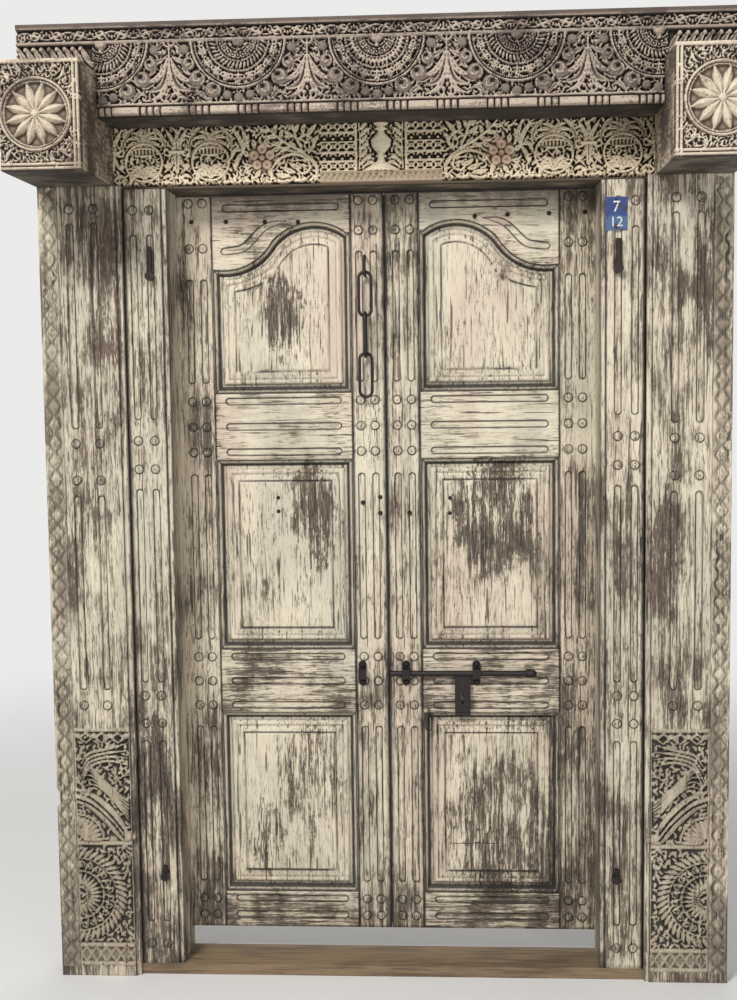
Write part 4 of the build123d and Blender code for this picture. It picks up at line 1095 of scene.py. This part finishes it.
def carve_plume(r, x0, x1, low, high):
    "Long curling plume over a quarter fan, with drops along the top."
    wide, tall = x1 - x0, high - low
    r.clear(x0, x1, low, high)

    def at(*points):
        return [(x1 - u * wide, low + v * tall) for u, v in points]
    for n in range(8):
        a = math.radians(94 + 12 * n)
        r.stroke([polar(x1, low + 4, 14, a), polar(x1, low + 4, 58, a)], [4, 9, 13, 12], 12)
    r.ring(x1, low + 4, 68, 7, 11, (90, 180))
    r.stroke(at((0, 0.42), (0.3, 0.36), (0.62, 0.22), (0.86, 0.06), (1, 0.05)), [40, 44, 46, 40, 26], 13)
    for f in (-0.03, 0.03):
        r.groove(at((0.02, 0.42 + f), (0.3, 0.36 + f), (0.62, 0.22 + f), (0.86, 0.07 + f)), 5, 6)
    for k in range(6):
        f = 0.055 * k
        r.stroke(at((0.97, 0.2 + f * 0.6), (0.66 - 0.02 * k, 0.4 + f * 0.5),
                    (0.36 - 0.02 * k, 0.52 + f * 0.7), (0.1 + 0.02 * k, 0.5 + f)), [3, 8, 8, 2], 14)
    for k in range(4):
        f = 0.06 * k
        r.stroke(at((0.08, 0.52 + f), (0.26, 0.68 + f * 0.7), (0.6, 0.74 + f * 0.6), (0.97, 0.7 + f * 1.1)),
                 [3, 9, 9, 2], 14)
    r.scroll(x1 - 0.14 * wide, low + 0.46 * tall, 16, 150, 330, 8, 14)
    r.scroll(x1 - 0.82 * wide, low + 0.62 * tall, 14, 20, -330, 7, 14)
    for u in (0.2, 0.5, 0.8):
        for bulge in (-0.1, 0.1):
            r.stroke(at((u, 0.99), (u + bulge, 0.95), (u, 0.9)), [6, 9, 3], 13)
    for u in (0.05, 0.35, 0.65, 0.95):
        r.dome(x1 - u * wide, high - 10, 8, 13)
    r.fill((x0, x1), (low, high), 8, 15, 8, 11, 31)


def carve_half_rosette(r, x0, x1, low, high):
    "Rings of leaves about the outer edge, the outermost of slanting gadroons."
    r.clear(x0, x1, low, high)
    cz = (low + high) / 2
    for radius in (97, 64, 20):
        r.ring(x1, cz, radius, 5, 12, (90, 270))
    for near, far, first, step, width, height, bend in (
            (100, 127, 84, 7.5, 13, 14, 9), (66, 94, 88.5, 15, 8, 12, 6), (24, 60, 95, 13, 10, 12, 0)):
        r.petals(x1, cz, near, far, np.arange(first, 274, step), width, height, bend=bend)
    for angle in np.arange(96, 268, 15):
        r.scroll(*polar(x1, cz, 80, math.radians(angle)), 9, angle, 300, 5, 12)
    r.fill((x0, x1), (low, high), 8, 15, 8, 11, 33)


def carve_pilaster():
    low, high = box_mm("pilaster_right")
    inner, outer, top = low[0], high[0], high[2]
    columns = [inner + x for x in PILASTER_COLUMNS]
    border = outer - 48
    span = (inner + 16, border - 4)
    r = Relief(lines(inner, outer, 3.0), lines(0, top, 3.0), CUT_SHALLOW)
    r.h[r.x < inner + REBATE] = -5
    edge_grime_and_shade(r, inner + REBATE, 2.5, 0.8)
    upright_flutes(r, columns, ((760, 1262), (1431, top - 90)))
    edge_grime_and_shade(r, border, 2.0, 0.6)
    strip = r.part(border, outer - 4, 24, top - 8)
    x = np.abs(r.x[strip] - (border + outer) / 2)
    z = (r.z[strip] - 40) % 46 - 23
    notches = 0.7 + 0.3 * np.abs(np.sin(z * 0.42 + x * 0.3))
    ridge = 7 * np.clip(1 - (x / 17 + np.abs(z) / 22), 0, 1) * notches
    corner = 6 * np.clip(1.5 - (np.abs(x - 18) / 8 + np.abs(np.abs(z) - 23) / 15), 0, 1)
    tall = np.maximum(ridge, corner)
    r.h[strip] = np.where(x < 20, tall - 4, r.h[strip])
    # Painted shade where the carving of the border strip is low.
    r.dirt[strip] = np.where(x < 20, np.clip(0.75 - tall / 3.2, 0, 1) * 0.7, r.dirt[strip])
    carve_plume(r, *span, 360, 650)
    carve_half_rosette(r, *span, 87, 350)
    foot = r.part(*span, 37, 77)
    cross = np.abs(((r.x[foot] - inner) % 26) - 13) / 13 + np.abs(r.z[foot] - 57) / 20
    r.h[foot] = -4 + 6 * np.clip(1.15 - np.abs(cross - 1) * 4, 0, 1)
    for level in (655, 355, 82, 32):
        part = r.part(inner + 14, border, level - 5, level + 5)
        r.h[part] = 3.5 - 0.9 * np.abs(r.z[part] - level)
    carved = r.part(inner + 14, border, 28, 660)
    r.carved[carved] = 1
    r.carved[strip] = 0.55
    # Painted shade where the carving is lower than round it and on its deep ground.
    lower = np.clip((blur(r.h, 2) - r.h) / 5.0, 0, 1) * 0.8 + np.clip((-2.5 - r.h) / 4.5, 0, 1) * 0.6
    r.shade_and_soil(lower[carved], carved)
    shade_round_bosses(r, columns, pilaster_bosses(top))
    r.roughen(0.4, 40)
    return r


def chip_edge(r, low, high, depth):
    "Bite out of the outer edge of a right-hand face."
    bite = depth * np.clip(np.minimum(r.z - low, high - r.z) / 8, 0, 1)
    r.x = r.x - bite * np.clip((r.x - r.x.max() + 12) / 12, 0, 1)


for side, word in SIDES:
    for kind, carve, plane in (("jamb", carve_jamb, JAMB_FACE), ("pilaster", carve_pilaster, PILASTER_FACE)):
        face = carve()
        if kind == "pilaster" and word == "left":
            chip_edge(face, 452, 500, 7)
        piece = board(kind + "_board_" + word, handed(face, side), plane, box_mm(kind + "_" + word)[1][1])
        place_piece(piece, PAINT_FRAME, "frame", kind + "_" + word, slot="painted_wood")


# Leaves

RAILS = ("bottom_rail", "lower_lock_rail", "upper_lock_rail")
STICKING = 14
MARGIN = 54
INSET = 33
panel_low, panel_high = box_mm("lower_panel_right")
OPEN = (panel_low[0] + 8, panel_high[0] - 8)
SHOULDER = (OPEN[0] - STICKING, OPEN[1] + STICKING)
rail_low, rail_high = ({name: box_mm(name + "_right")[end][2] for name in RAILS} for end in (0, 1))
LEAF_TOP = box_mm("top_rail_right")[1][2]
LEAF_LOW = rail_low["bottom_rail"]
PIVOT_X = 565.0
NOSE = 22.0
COLUMNS = {"hinge": (PIVOT_X - 94, PIVOT_X - 58), "meeting": (29, 66)}
PEAK = (OPEN[0] + 81, LEAF_TOP - 81)
VALLEY = (OPEN[1] - 19, LEAF_TOP - 201)
OPENINGS = {"lower": (rail_high["bottom_rail"], rail_low["lower_lock_rail"]),
            "middle": (rail_high["lower_lock_rail"], rail_low["upper_lock_rail"]),
            "upper": (rail_high["upper_lock_rail"], None)}


def ogee(x):
    "Height of the curve over the upper panel."
    x = np.clip(x, *OPEN)
    run, drop = 81.0, 28.0
    hill = (run ** 2 + drop ** 2) / (2 * drop)
    across = VALLEY[0] - PEAK[0]
    rise = VALLEY[1] - (PEAK[1] - hill)
    dale = (across ** 2 + rise ** 2 - hill ** 2) / (2 * (hill - rise))
    turn = PEAK[0] + across * hill / (hill + dale)
    over = PEAK[1] - hill + np.sqrt(np.clip(hill ** 2 - (x - PEAK[0]) ** 2, 0, None))
    under = VALLEY[1] + dale - np.sqrt(np.clip(dale ** 2 - (x - VALLEY[0]) ** 2, 0, None))
    return np.where(x < turn, over, under)


def slope_factor(x):
    return 1 / np.sqrt(1 + ((ogee(x + 1) - ogee(x - 1)) / 2) ** 2)


def moulded(r, low, high):
    "Sticking, bevel and raised field of a panel. high is None under the ogee."
    if high is None:
        above = (r.z - ogee(r.x)) * slope_factor(r.x)
    else:
        above = r.z - high
    d = np.maximum.reduce([OPEN[0] - r.x, r.x - OPEN[1], low - r.z, above])
    t = np.clip(d / STICKING, 0, 1)
    sticking = np.where(t < 0.8, -11 * np.clip(1 - t / 0.8, 0, 1) ** 1.5 - 3, -0.2)
    e = -d
    bevel = -17 + 9 * np.clip(e / 40, 0, 1) ** 1.2 + 5 * half_round((e - 17) / 6.5)
    field = -6 - 5 * np.clip((49 - e) / 4, 0, 1) ** 2
    inside = np.where(e < 43, bevel, field)
    inside = np.where(e < 3, -18, inside)
    r.h = np.where(d > 0, sticking, inside)
    # Painted shade along the steps of the moulding, heavier near the lower edge where a shadow lies, broken
    # up at random away from the edges.
    shadow_near_low_edge = np.clip(1.4 - np.abs(r.z - low) / 45, 0, 1)
    for at, width, strength in ((0, 5, 1.0), (11.5, 2.6, 0.9), (-9.5, 2.2, 0.6), (-25, 2.4, 0.5),
                                (-43.5, 2.7, 0.85)):
        r.shade_and_soil(strength * bell((d - at) / (width + 1.5 * shadow_near_low_edge)))
    rng = np.random.default_rng(int(low))
    patchy = blur(rng.standard_normal(r.h.shape), 3)
    patchy = np.clip(patchy / patchy.std() * 0.25 + 0.9, 0.62, 1)
    r.dirt *= np.where(d < -6, np.maximum(patchy, shadow_near_low_edge), 1)
    past_x = np.maximum(OPEN[0] - r.x, r.x - OPEN[1])
    past_z = np.maximum(low - r.z, above)
    r.shade_and_soil((past_x > 0) * (past_z > 0) * bell((past_x - past_z) / 2.4))
    return r


def panel_relief(name):
    "Panel with the sticking of its opening. Grid lines are close within MARGIN of its edges."
    low, high = OPENINGS[name]
    fine_x = [(SHOULDER[0], OPEN[0] + MARGIN), (OPEN[1] - MARGIN, SHOULDER[1])]
    if high is not None:
        fine_z = [(low - STICKING, low + MARGIN), (high - MARGIN, high + STICKING)]
        r = Relief(graded(*SHOULDER, fine_x), graded(low - STICKING, high + STICKING, fine_z))
    else:
        xs = graded(*SHOULDER, fine_x, coarse=5)
        top = ogee(xs) + STICKING / slope_factor(xs)
        shares = graded(0.0, 1.0, [(0, 0.16), (0.8, 1.0)], 0.0062, 0.03)
        z = (low - STICKING) + (top[:, None] - low + STICKING) * shares[None, :]
        r = Relief(np.repeat(xs[:, None], len(shares), 1), z)
    return moulded(r, low, high)


def rail_rows(name):
    "Heights of the flutes of a rail, and of the bosses beside it. The outer ones lie INSET from its edges."
    low, high = rail_low[name], rail_high[name]
    middle = [] if name == "bottom_rail" else [(low + high) / 2]
    return [low + INSET, *middle, high - INSET]


def rail_relief(name):
    "Rail between its shoulders, with its level flutes, dark along the joints."
    if name == "top_rail":
        xs = graded(*SHOULDER, [], coarse=3)
        foot = ogee(xs) + STICKING / slope_factor(xs)
        shares = lines(0, 1, 1 / 62)
        z = foot[:, None] + (LEAF_TOP - foot[:, None]) * shares[None, :]
        r = Relief(np.repeat(xs[:, None], len(shares), 1), z)
        x, top = OPEN[1], LEAF_TOP
        r.groove([(x - 183, top - 65), (x - 140, top - 73), (x - 114, top - 88), (x - 89, top - 114),
                  (x - 64, top - 133), (x - 19, top - 140)], [1, 14, 19, 21, 21, 19], FLUTE_DEPTH)
        rows = (LEAF_TOP - 30,)
    else:
        low, high = rail_low[name], rail_high[name]
        face_low = low if name == "bottom_rail" else low + STICKING
        rows = rail_rows(name)
        fine_z = [(z - 12, z + 12) for z in rows]
        fine_x = [(SHOULDER[0], OPEN[0] + 26), (OPEN[1] - 26, SHOULDER[1])]
        r = Relief(graded(*SHOULDER, fine_x), graded(face_low, high - STICKING, fine_z, coarse=6))
    for z in rows:
        r.groove([(OPEN[0] + 14 + FLUTE / 2, z), (OPEN[1] - 14 - FLUTE / 2, z)], FLUTE, FLUTE_DEPTH)
    for x in SHOULDER:
        edge_grime_and_shade(r, x, 3.0, 1.0)
    return r


def boss_rows(kind):
    "Heights of the bosses on a stile."
    beside_rails = [z for name in RAILS for z in rail_rows(name)]
    return beside_rails + [LEAF_TOP - (132 if kind == "hinge" else 92), LEAF_TOP - 16]


def stile_relief(kind):
    hinge = kind == "hinge"
    columns = COLUMNS[kind]
    span = (SHOULDER[1], PIVOT_X + NOSE) if hinge else (0.9, SHOULDER[0])
    starts = [high + 14 for high in rail_high.values()]
    ends = [rail_low[name] - 24 for name in RAILS[1:]] + [LEAF_TOP - (211 if hinge else 144)]
    flutes = list(zip(starts, ends))
    fine_x = [(c - 13, c + 13) for c in columns] + [(span[0], span[0] + 5), (PIVOT_X - 2, PIVOT_X + NOSE)]
    fine_z = [(z - 15, z + 15) for z in [*starts, *ends, *boss_rows(kind)]]
    r = Relief(graded(*span, fine_x), graded(LEAF_LOW, LEAF_TOP, fine_z))
    upright_flutes(r, columns, flutes)
    edge_grime_and_shade(r, SHOULDER[1] if hinge else SHOULDER[0], 3.0, 1.0)
    if not hinge:
        edge_grime_and_shade(r, span[0], 6, 1.0)
    shade_round_bosses(r, columns, boss_rows(kind))
    return r


def leaf_board(side, word, name, relief, paint, back=LEAF_BACK, nose=None):
    piece = board(name + "_board_" + word, handed(relief, side), LEAF_FACE, back, nose=nose)
    place_piece(piece, paint, "leaf_" + word, name + "_" + word, slot="painted_wood")


for side, word in SIDES:
    for name in OPENINGS:
        leaf_board(side, word, name + "_panel", panel_relief(name), PAINT_PANELS[word], PANEL_BACK)
    for name in (*RAILS, "top_rail"):
        paint = PAINT_TOP if name == "top_rail" else PAINT_RAIL
        leaf_board(side, word, name, rail_relief(name), paint)
    nose = (side * PIVOT_X, NOSE)
    leaf_board(side, word, "hinge_stile", stile_relief("hinge"), PAINT_STILE, nose=nose)
    leaf_board(side, word, "meeting_stile", stile_relief("meeting"), PAINT_STILE)


# Turned bosses, set out on points

def boss_tree(material, name):
    "Geometry nodes that set a turned boss on each point of a mesh, and the keys of its two sizes."
    tree = bpy.data.node_groups.new(name, "GeometryNodeTree")

    def socket(name, kind, way="INPUT"):
        return tree.interface.new_socket(name, in_out=way, socket_type=kind).identifier

    def make(kind, inputs, settings=None):
        return add_node(tree, kind, settings, inputs)

    socket("Geometry", "NodeSocketGeometry")
    keys = [socket(name, "NodeSocketFloat") for name in ("Boss Radius", "Boss Height")]
    socket("Geometry", "NodeSocketGeometry", "OUTPUT")

    start = make("NodeGroupInput", {})
    size, tall = start.outputs["Boss Radius"], start.outputs["Boss Height"]

    def scaled(value, factor):
        return make("ShaderNodeMath", {0: value, 1: factor}, {"operation": "MULTIPLY"}).outputs[0]

    disc = make("GeometryNodeMeshCone", {"Vertices": 20, "Radius Top": scaled(size, 0.78),
                                         "Radius Bottom": size, "Depth": tall})
    button = make("GeometryNodeMeshCone", {"Vertices": 14, "Radius Top": scaled(size, 0.2),
                                           "Radius Bottom": scaled(size, 0.55), "Depth": scaled(tall, 1.7)})
    both = make("GeometryNodeJoinGeometry", {})
    for part in (disc, button):
        tree.links.new(part.outputs["Mesh"], both.inputs[0])
    turned = make("GeometryNodeTransform", {"Geometry": both.outputs[0],
                                            "Rotation": (math.radians(90), 0, 0)})
    placed = make("GeometryNodeInstanceOnPoints", {"Points": start.outputs["Geometry"],
                                                   "Instance": turned.outputs[0]})
    real = make("GeometryNodeRealizeInstances", {0: placed.outputs[0]})
    painted = make("GeometryNodeSetMaterial", {"Geometry": real.outputs[0], "Material": material})
    make("NodeGroupOutput", {0: painted.outputs[0]})
    return tree, keys


def set_bosses(name, material, places, body):
    "Bosses at places given as x, y and z in millimetres, made one plain mesh."
    tree, keys = boss_tree(material, name + "_layout")
    points = make_mesh(name + "_places", np.array(places, float) * MM, [])
    modifier = points.modifiers.new("bosses", "NODES")
    modifier.node_group = tree
    for key, value in zip(keys, (BOSS_RADIUS, BOSS_HEIGHT)):
        modifier[key] = value * MM
    found = points.evaluated_get(bpy.context.evaluated_depsgraph_get())
    mesh = bpy.data.meshes.new_from_object(found)
    layer = mesh.attributes.new("dirt", "FLOAT", "POINT")
    layer.data.foreach_set("value", np.zeros(len(mesh.vertices), np.float32))
    bpy.data.objects.remove(points)
    place_piece(add_object(name, mesh), material, body, slot="painted_wood")


def frame_places(side, under_tile=10):
    "Bosses of one jamb and one pilaster. On the right the number tile takes the place of one."
    places = []
    for kind, face, rows, columns in (("jamb", JAMB_FACE, jamb_bosses, JAMB_COLUMNS),
                                      ("pilaster", PILASTER_FACE, pilaster_bosses, PILASTER_COLUMNS)):
        low, high = box_mm(kind + "_right")
        places += [(side * (low[0] + x), face, z) for z in rows(high[2]) for x in columns]
    if side > 0:
        del places[under_tile]
    return places


def leaf_places(side):
    "Bosses of one leaf. The bolt hides one on each meeting stile."
    bolt_row = rail_rows("lower_lock_rail")[1]
    hidden = COLUMNS["meeting"][1 if side < 0 else 0]
    return [(side * x, LEAF_FACE, z) for kind, columns in COLUMNS.items() for z in boss_rows(kind)
            for x in columns if not (x == hidden and z == bolt_row)]


set_bosses("frame_bosses", PAINT_FRAME, [place for side, _ in SIDES for place in frame_places(side)], "frame")
for side, word in SIDES:
    set_bosses("leaf_bosses_" + word, PAINT_STILE, leaf_places(side), "leaf_" + word)


# Number tile

tile_low, tile_high = box_mm("number_plate")
tile_middle = (tile_low + tile_high) / 2
change = tile_middle[2] * MM - 0.004
ENAMEL = enamel("blue_enamel", screen(40, 58, 112), screen(66, 92, 128), screen(60, 48, 44), change)
WHITE = enamel("white_enamel", screen(216, 218, 219), screen(204, 206, 205), screen(60, 48, 44), change)


def number(text, z, tall):
    "Flat raised numerals on the tile."
    curve = bpy.data.curves.new("numerals", "FONT")
    curve.body = text
    curve.size = tall * MM * 1.4
    curve.align_x = "CENTER"
    curve.extrude = 0.0002
    flat = add_object("numerals", curve)
    bpy.context.view_layer.update()
    mesh = bpy.data.meshes.new_from_object(flat.evaluated_get(bpy.context.evaluated_depsgraph_get()))
    bpy.data.objects.remove(flat)
    place = Matrix.Translation((tile_middle[0] * MM, (tile_low[1] - 0.1) * MM, z * MM))
    mesh.transform(place @ Matrix.Rotation(math.radians(90), 4, "X"))
    place_piece(add_object("number_" + text, mesh), WHITE, "frame", slot="enamel")


number("7", tile_middle[2] + 5, 27)
number("12", tile_low[2] + 10, 24)


# Finishes on the nodes that stay as they are

IRONWORK = ("chain", "bolt", "guide", "keeper", "drop", "nails")


def finish_of(name):
    if name == "sill":
        return WOOD_SILL
    if name == "number_plate":
        return ENAMEL
    if name.startswith("socket"):
        return PAINT_FRAME
    if "pintle" in name or "plate_nails" in name:
        return RUSTY_IRON
    if name.startswith(IRONWORK) or "pivot" in name:
        return BLACK_IRON
    return PAINT_RAIL if "batten" in name else PAINT_STILE


for name, node in nodes.items():
    if not node.material_slots:
        node.data.materials.append(finish_of(name))
    for slot in node.material_slots:
        slot.material = finish_of(name)


# Floor, light and camera

def add_floor(size=8):
    "Plain pale floor that fades into the background away from the door."
    corners = [(-size, -size, 0), (size, -size, 0), (size, size, 0), (-size, size, 0)]
    floor = make_mesh("floor", corners, [(0, 1, 2, 3)])
    b = Bench("floor_pale")
    away = (b.x * b.x + b.y * b.y) ** 0.5
    floor.data.materials.append(b.finish(Base_Color=(0.74, 0.735, 0.72, 1), Roughness=0.9,
                                         Alpha=b.step(away, 4.6, 1.4)))


def add_light(name, place, target, size, power):
    data = bpy.data.lights.new(name, "AREA")
    data.shape = "RECTANGLE"
    data.size = data.size_y = size
    data.energy = power
    light = add_object(name, data)
    light.location = place
    light.rotation_euler = (Vector(target) - Vector(place)).to_track_quat("-Z", "Y").to_euler()


def add_camera(place, yaw, pitch, roll, focal, tall):
    "Camera at the photograph's place and angle. The focal length and the height are in its pixels."
    yaw, pitch, roll = (math.radians(v) for v in (yaw, pitch, roll))
    ahead = Vector((-math.sin(yaw) * math.cos(pitch), math.cos(yaw) * math.cos(pitch), math.sin(pitch)))
    level = Vector((math.cos(yaw), math.sin(yaw), 0))
    rise = level.cross(ahead)
    right = math.cos(roll) * level + math.sin(roll) * rise
    up = math.cos(roll) * rise - math.sin(roll) * level
    data = bpy.data.cameras.new("camera")
    data.sensor_width = 36
    data.lens = focal * data.sensor_width / tall
    camera = add_object("camera", data)
    camera.matrix_world = Matrix.Translation(place) @ Matrix((right, up, -ahead)).transposed().to_4x4()
    bpy.context.scene.camera = camera


def add_world():
    "Soft room light, with a plain pale background behind the door."
    world = bpy.data.worlds.new("studio")
    bpy.context.scene.world = world
    world.use_nodes = True
    tree = world.node_tree
    tree.nodes.clear()
    light, pale = (add_node(tree, "ShaderNodeBackground", {}, {0: colour, 1: strength}).outputs[0]
                   for colour, strength in (((0.95, 0.95, 0.95, 1), 0.4), ((0.83, 0.83, 0.82, 1), 1.0)))
    rays = add_node(tree, "ShaderNodeLightPath").outputs
    seen = rays["Is Camera Ray"]
    for other in ("Is Glossy Ray", "Is Transmission Ray"):
        both = {0: seen, 1: rays[other]}
        seen = add_node(tree, "ShaderNodeMath", {"operation": "MAXIMUM"}, both).outputs[0]
    mix = add_node(tree, "ShaderNodeMixShader", {}, {0: seen, 1: light, 2: pale})
    add_node(tree, "ShaderNodeOutputWorld", {}, {0: mix.outputs[0]})


add_floor()
add_light("key", (-1.9, -3.9, 4.9), (0, 0, 1.1), 1.3, 265)
add_light("fill", (2.4, -4.6, 1.2), (0, 0, 1.4), 1.8, 62)
add_light("back", (0.5, 4.5, 3.5), (0, 0, 1.2), 3, 60)
add_camera((0.167, -3.578, 1.557), 3.392, -5.076, -0.742, 1400, 1000)
add_world()
bpy.context.scene.view_settings.view_transform = "Standard"
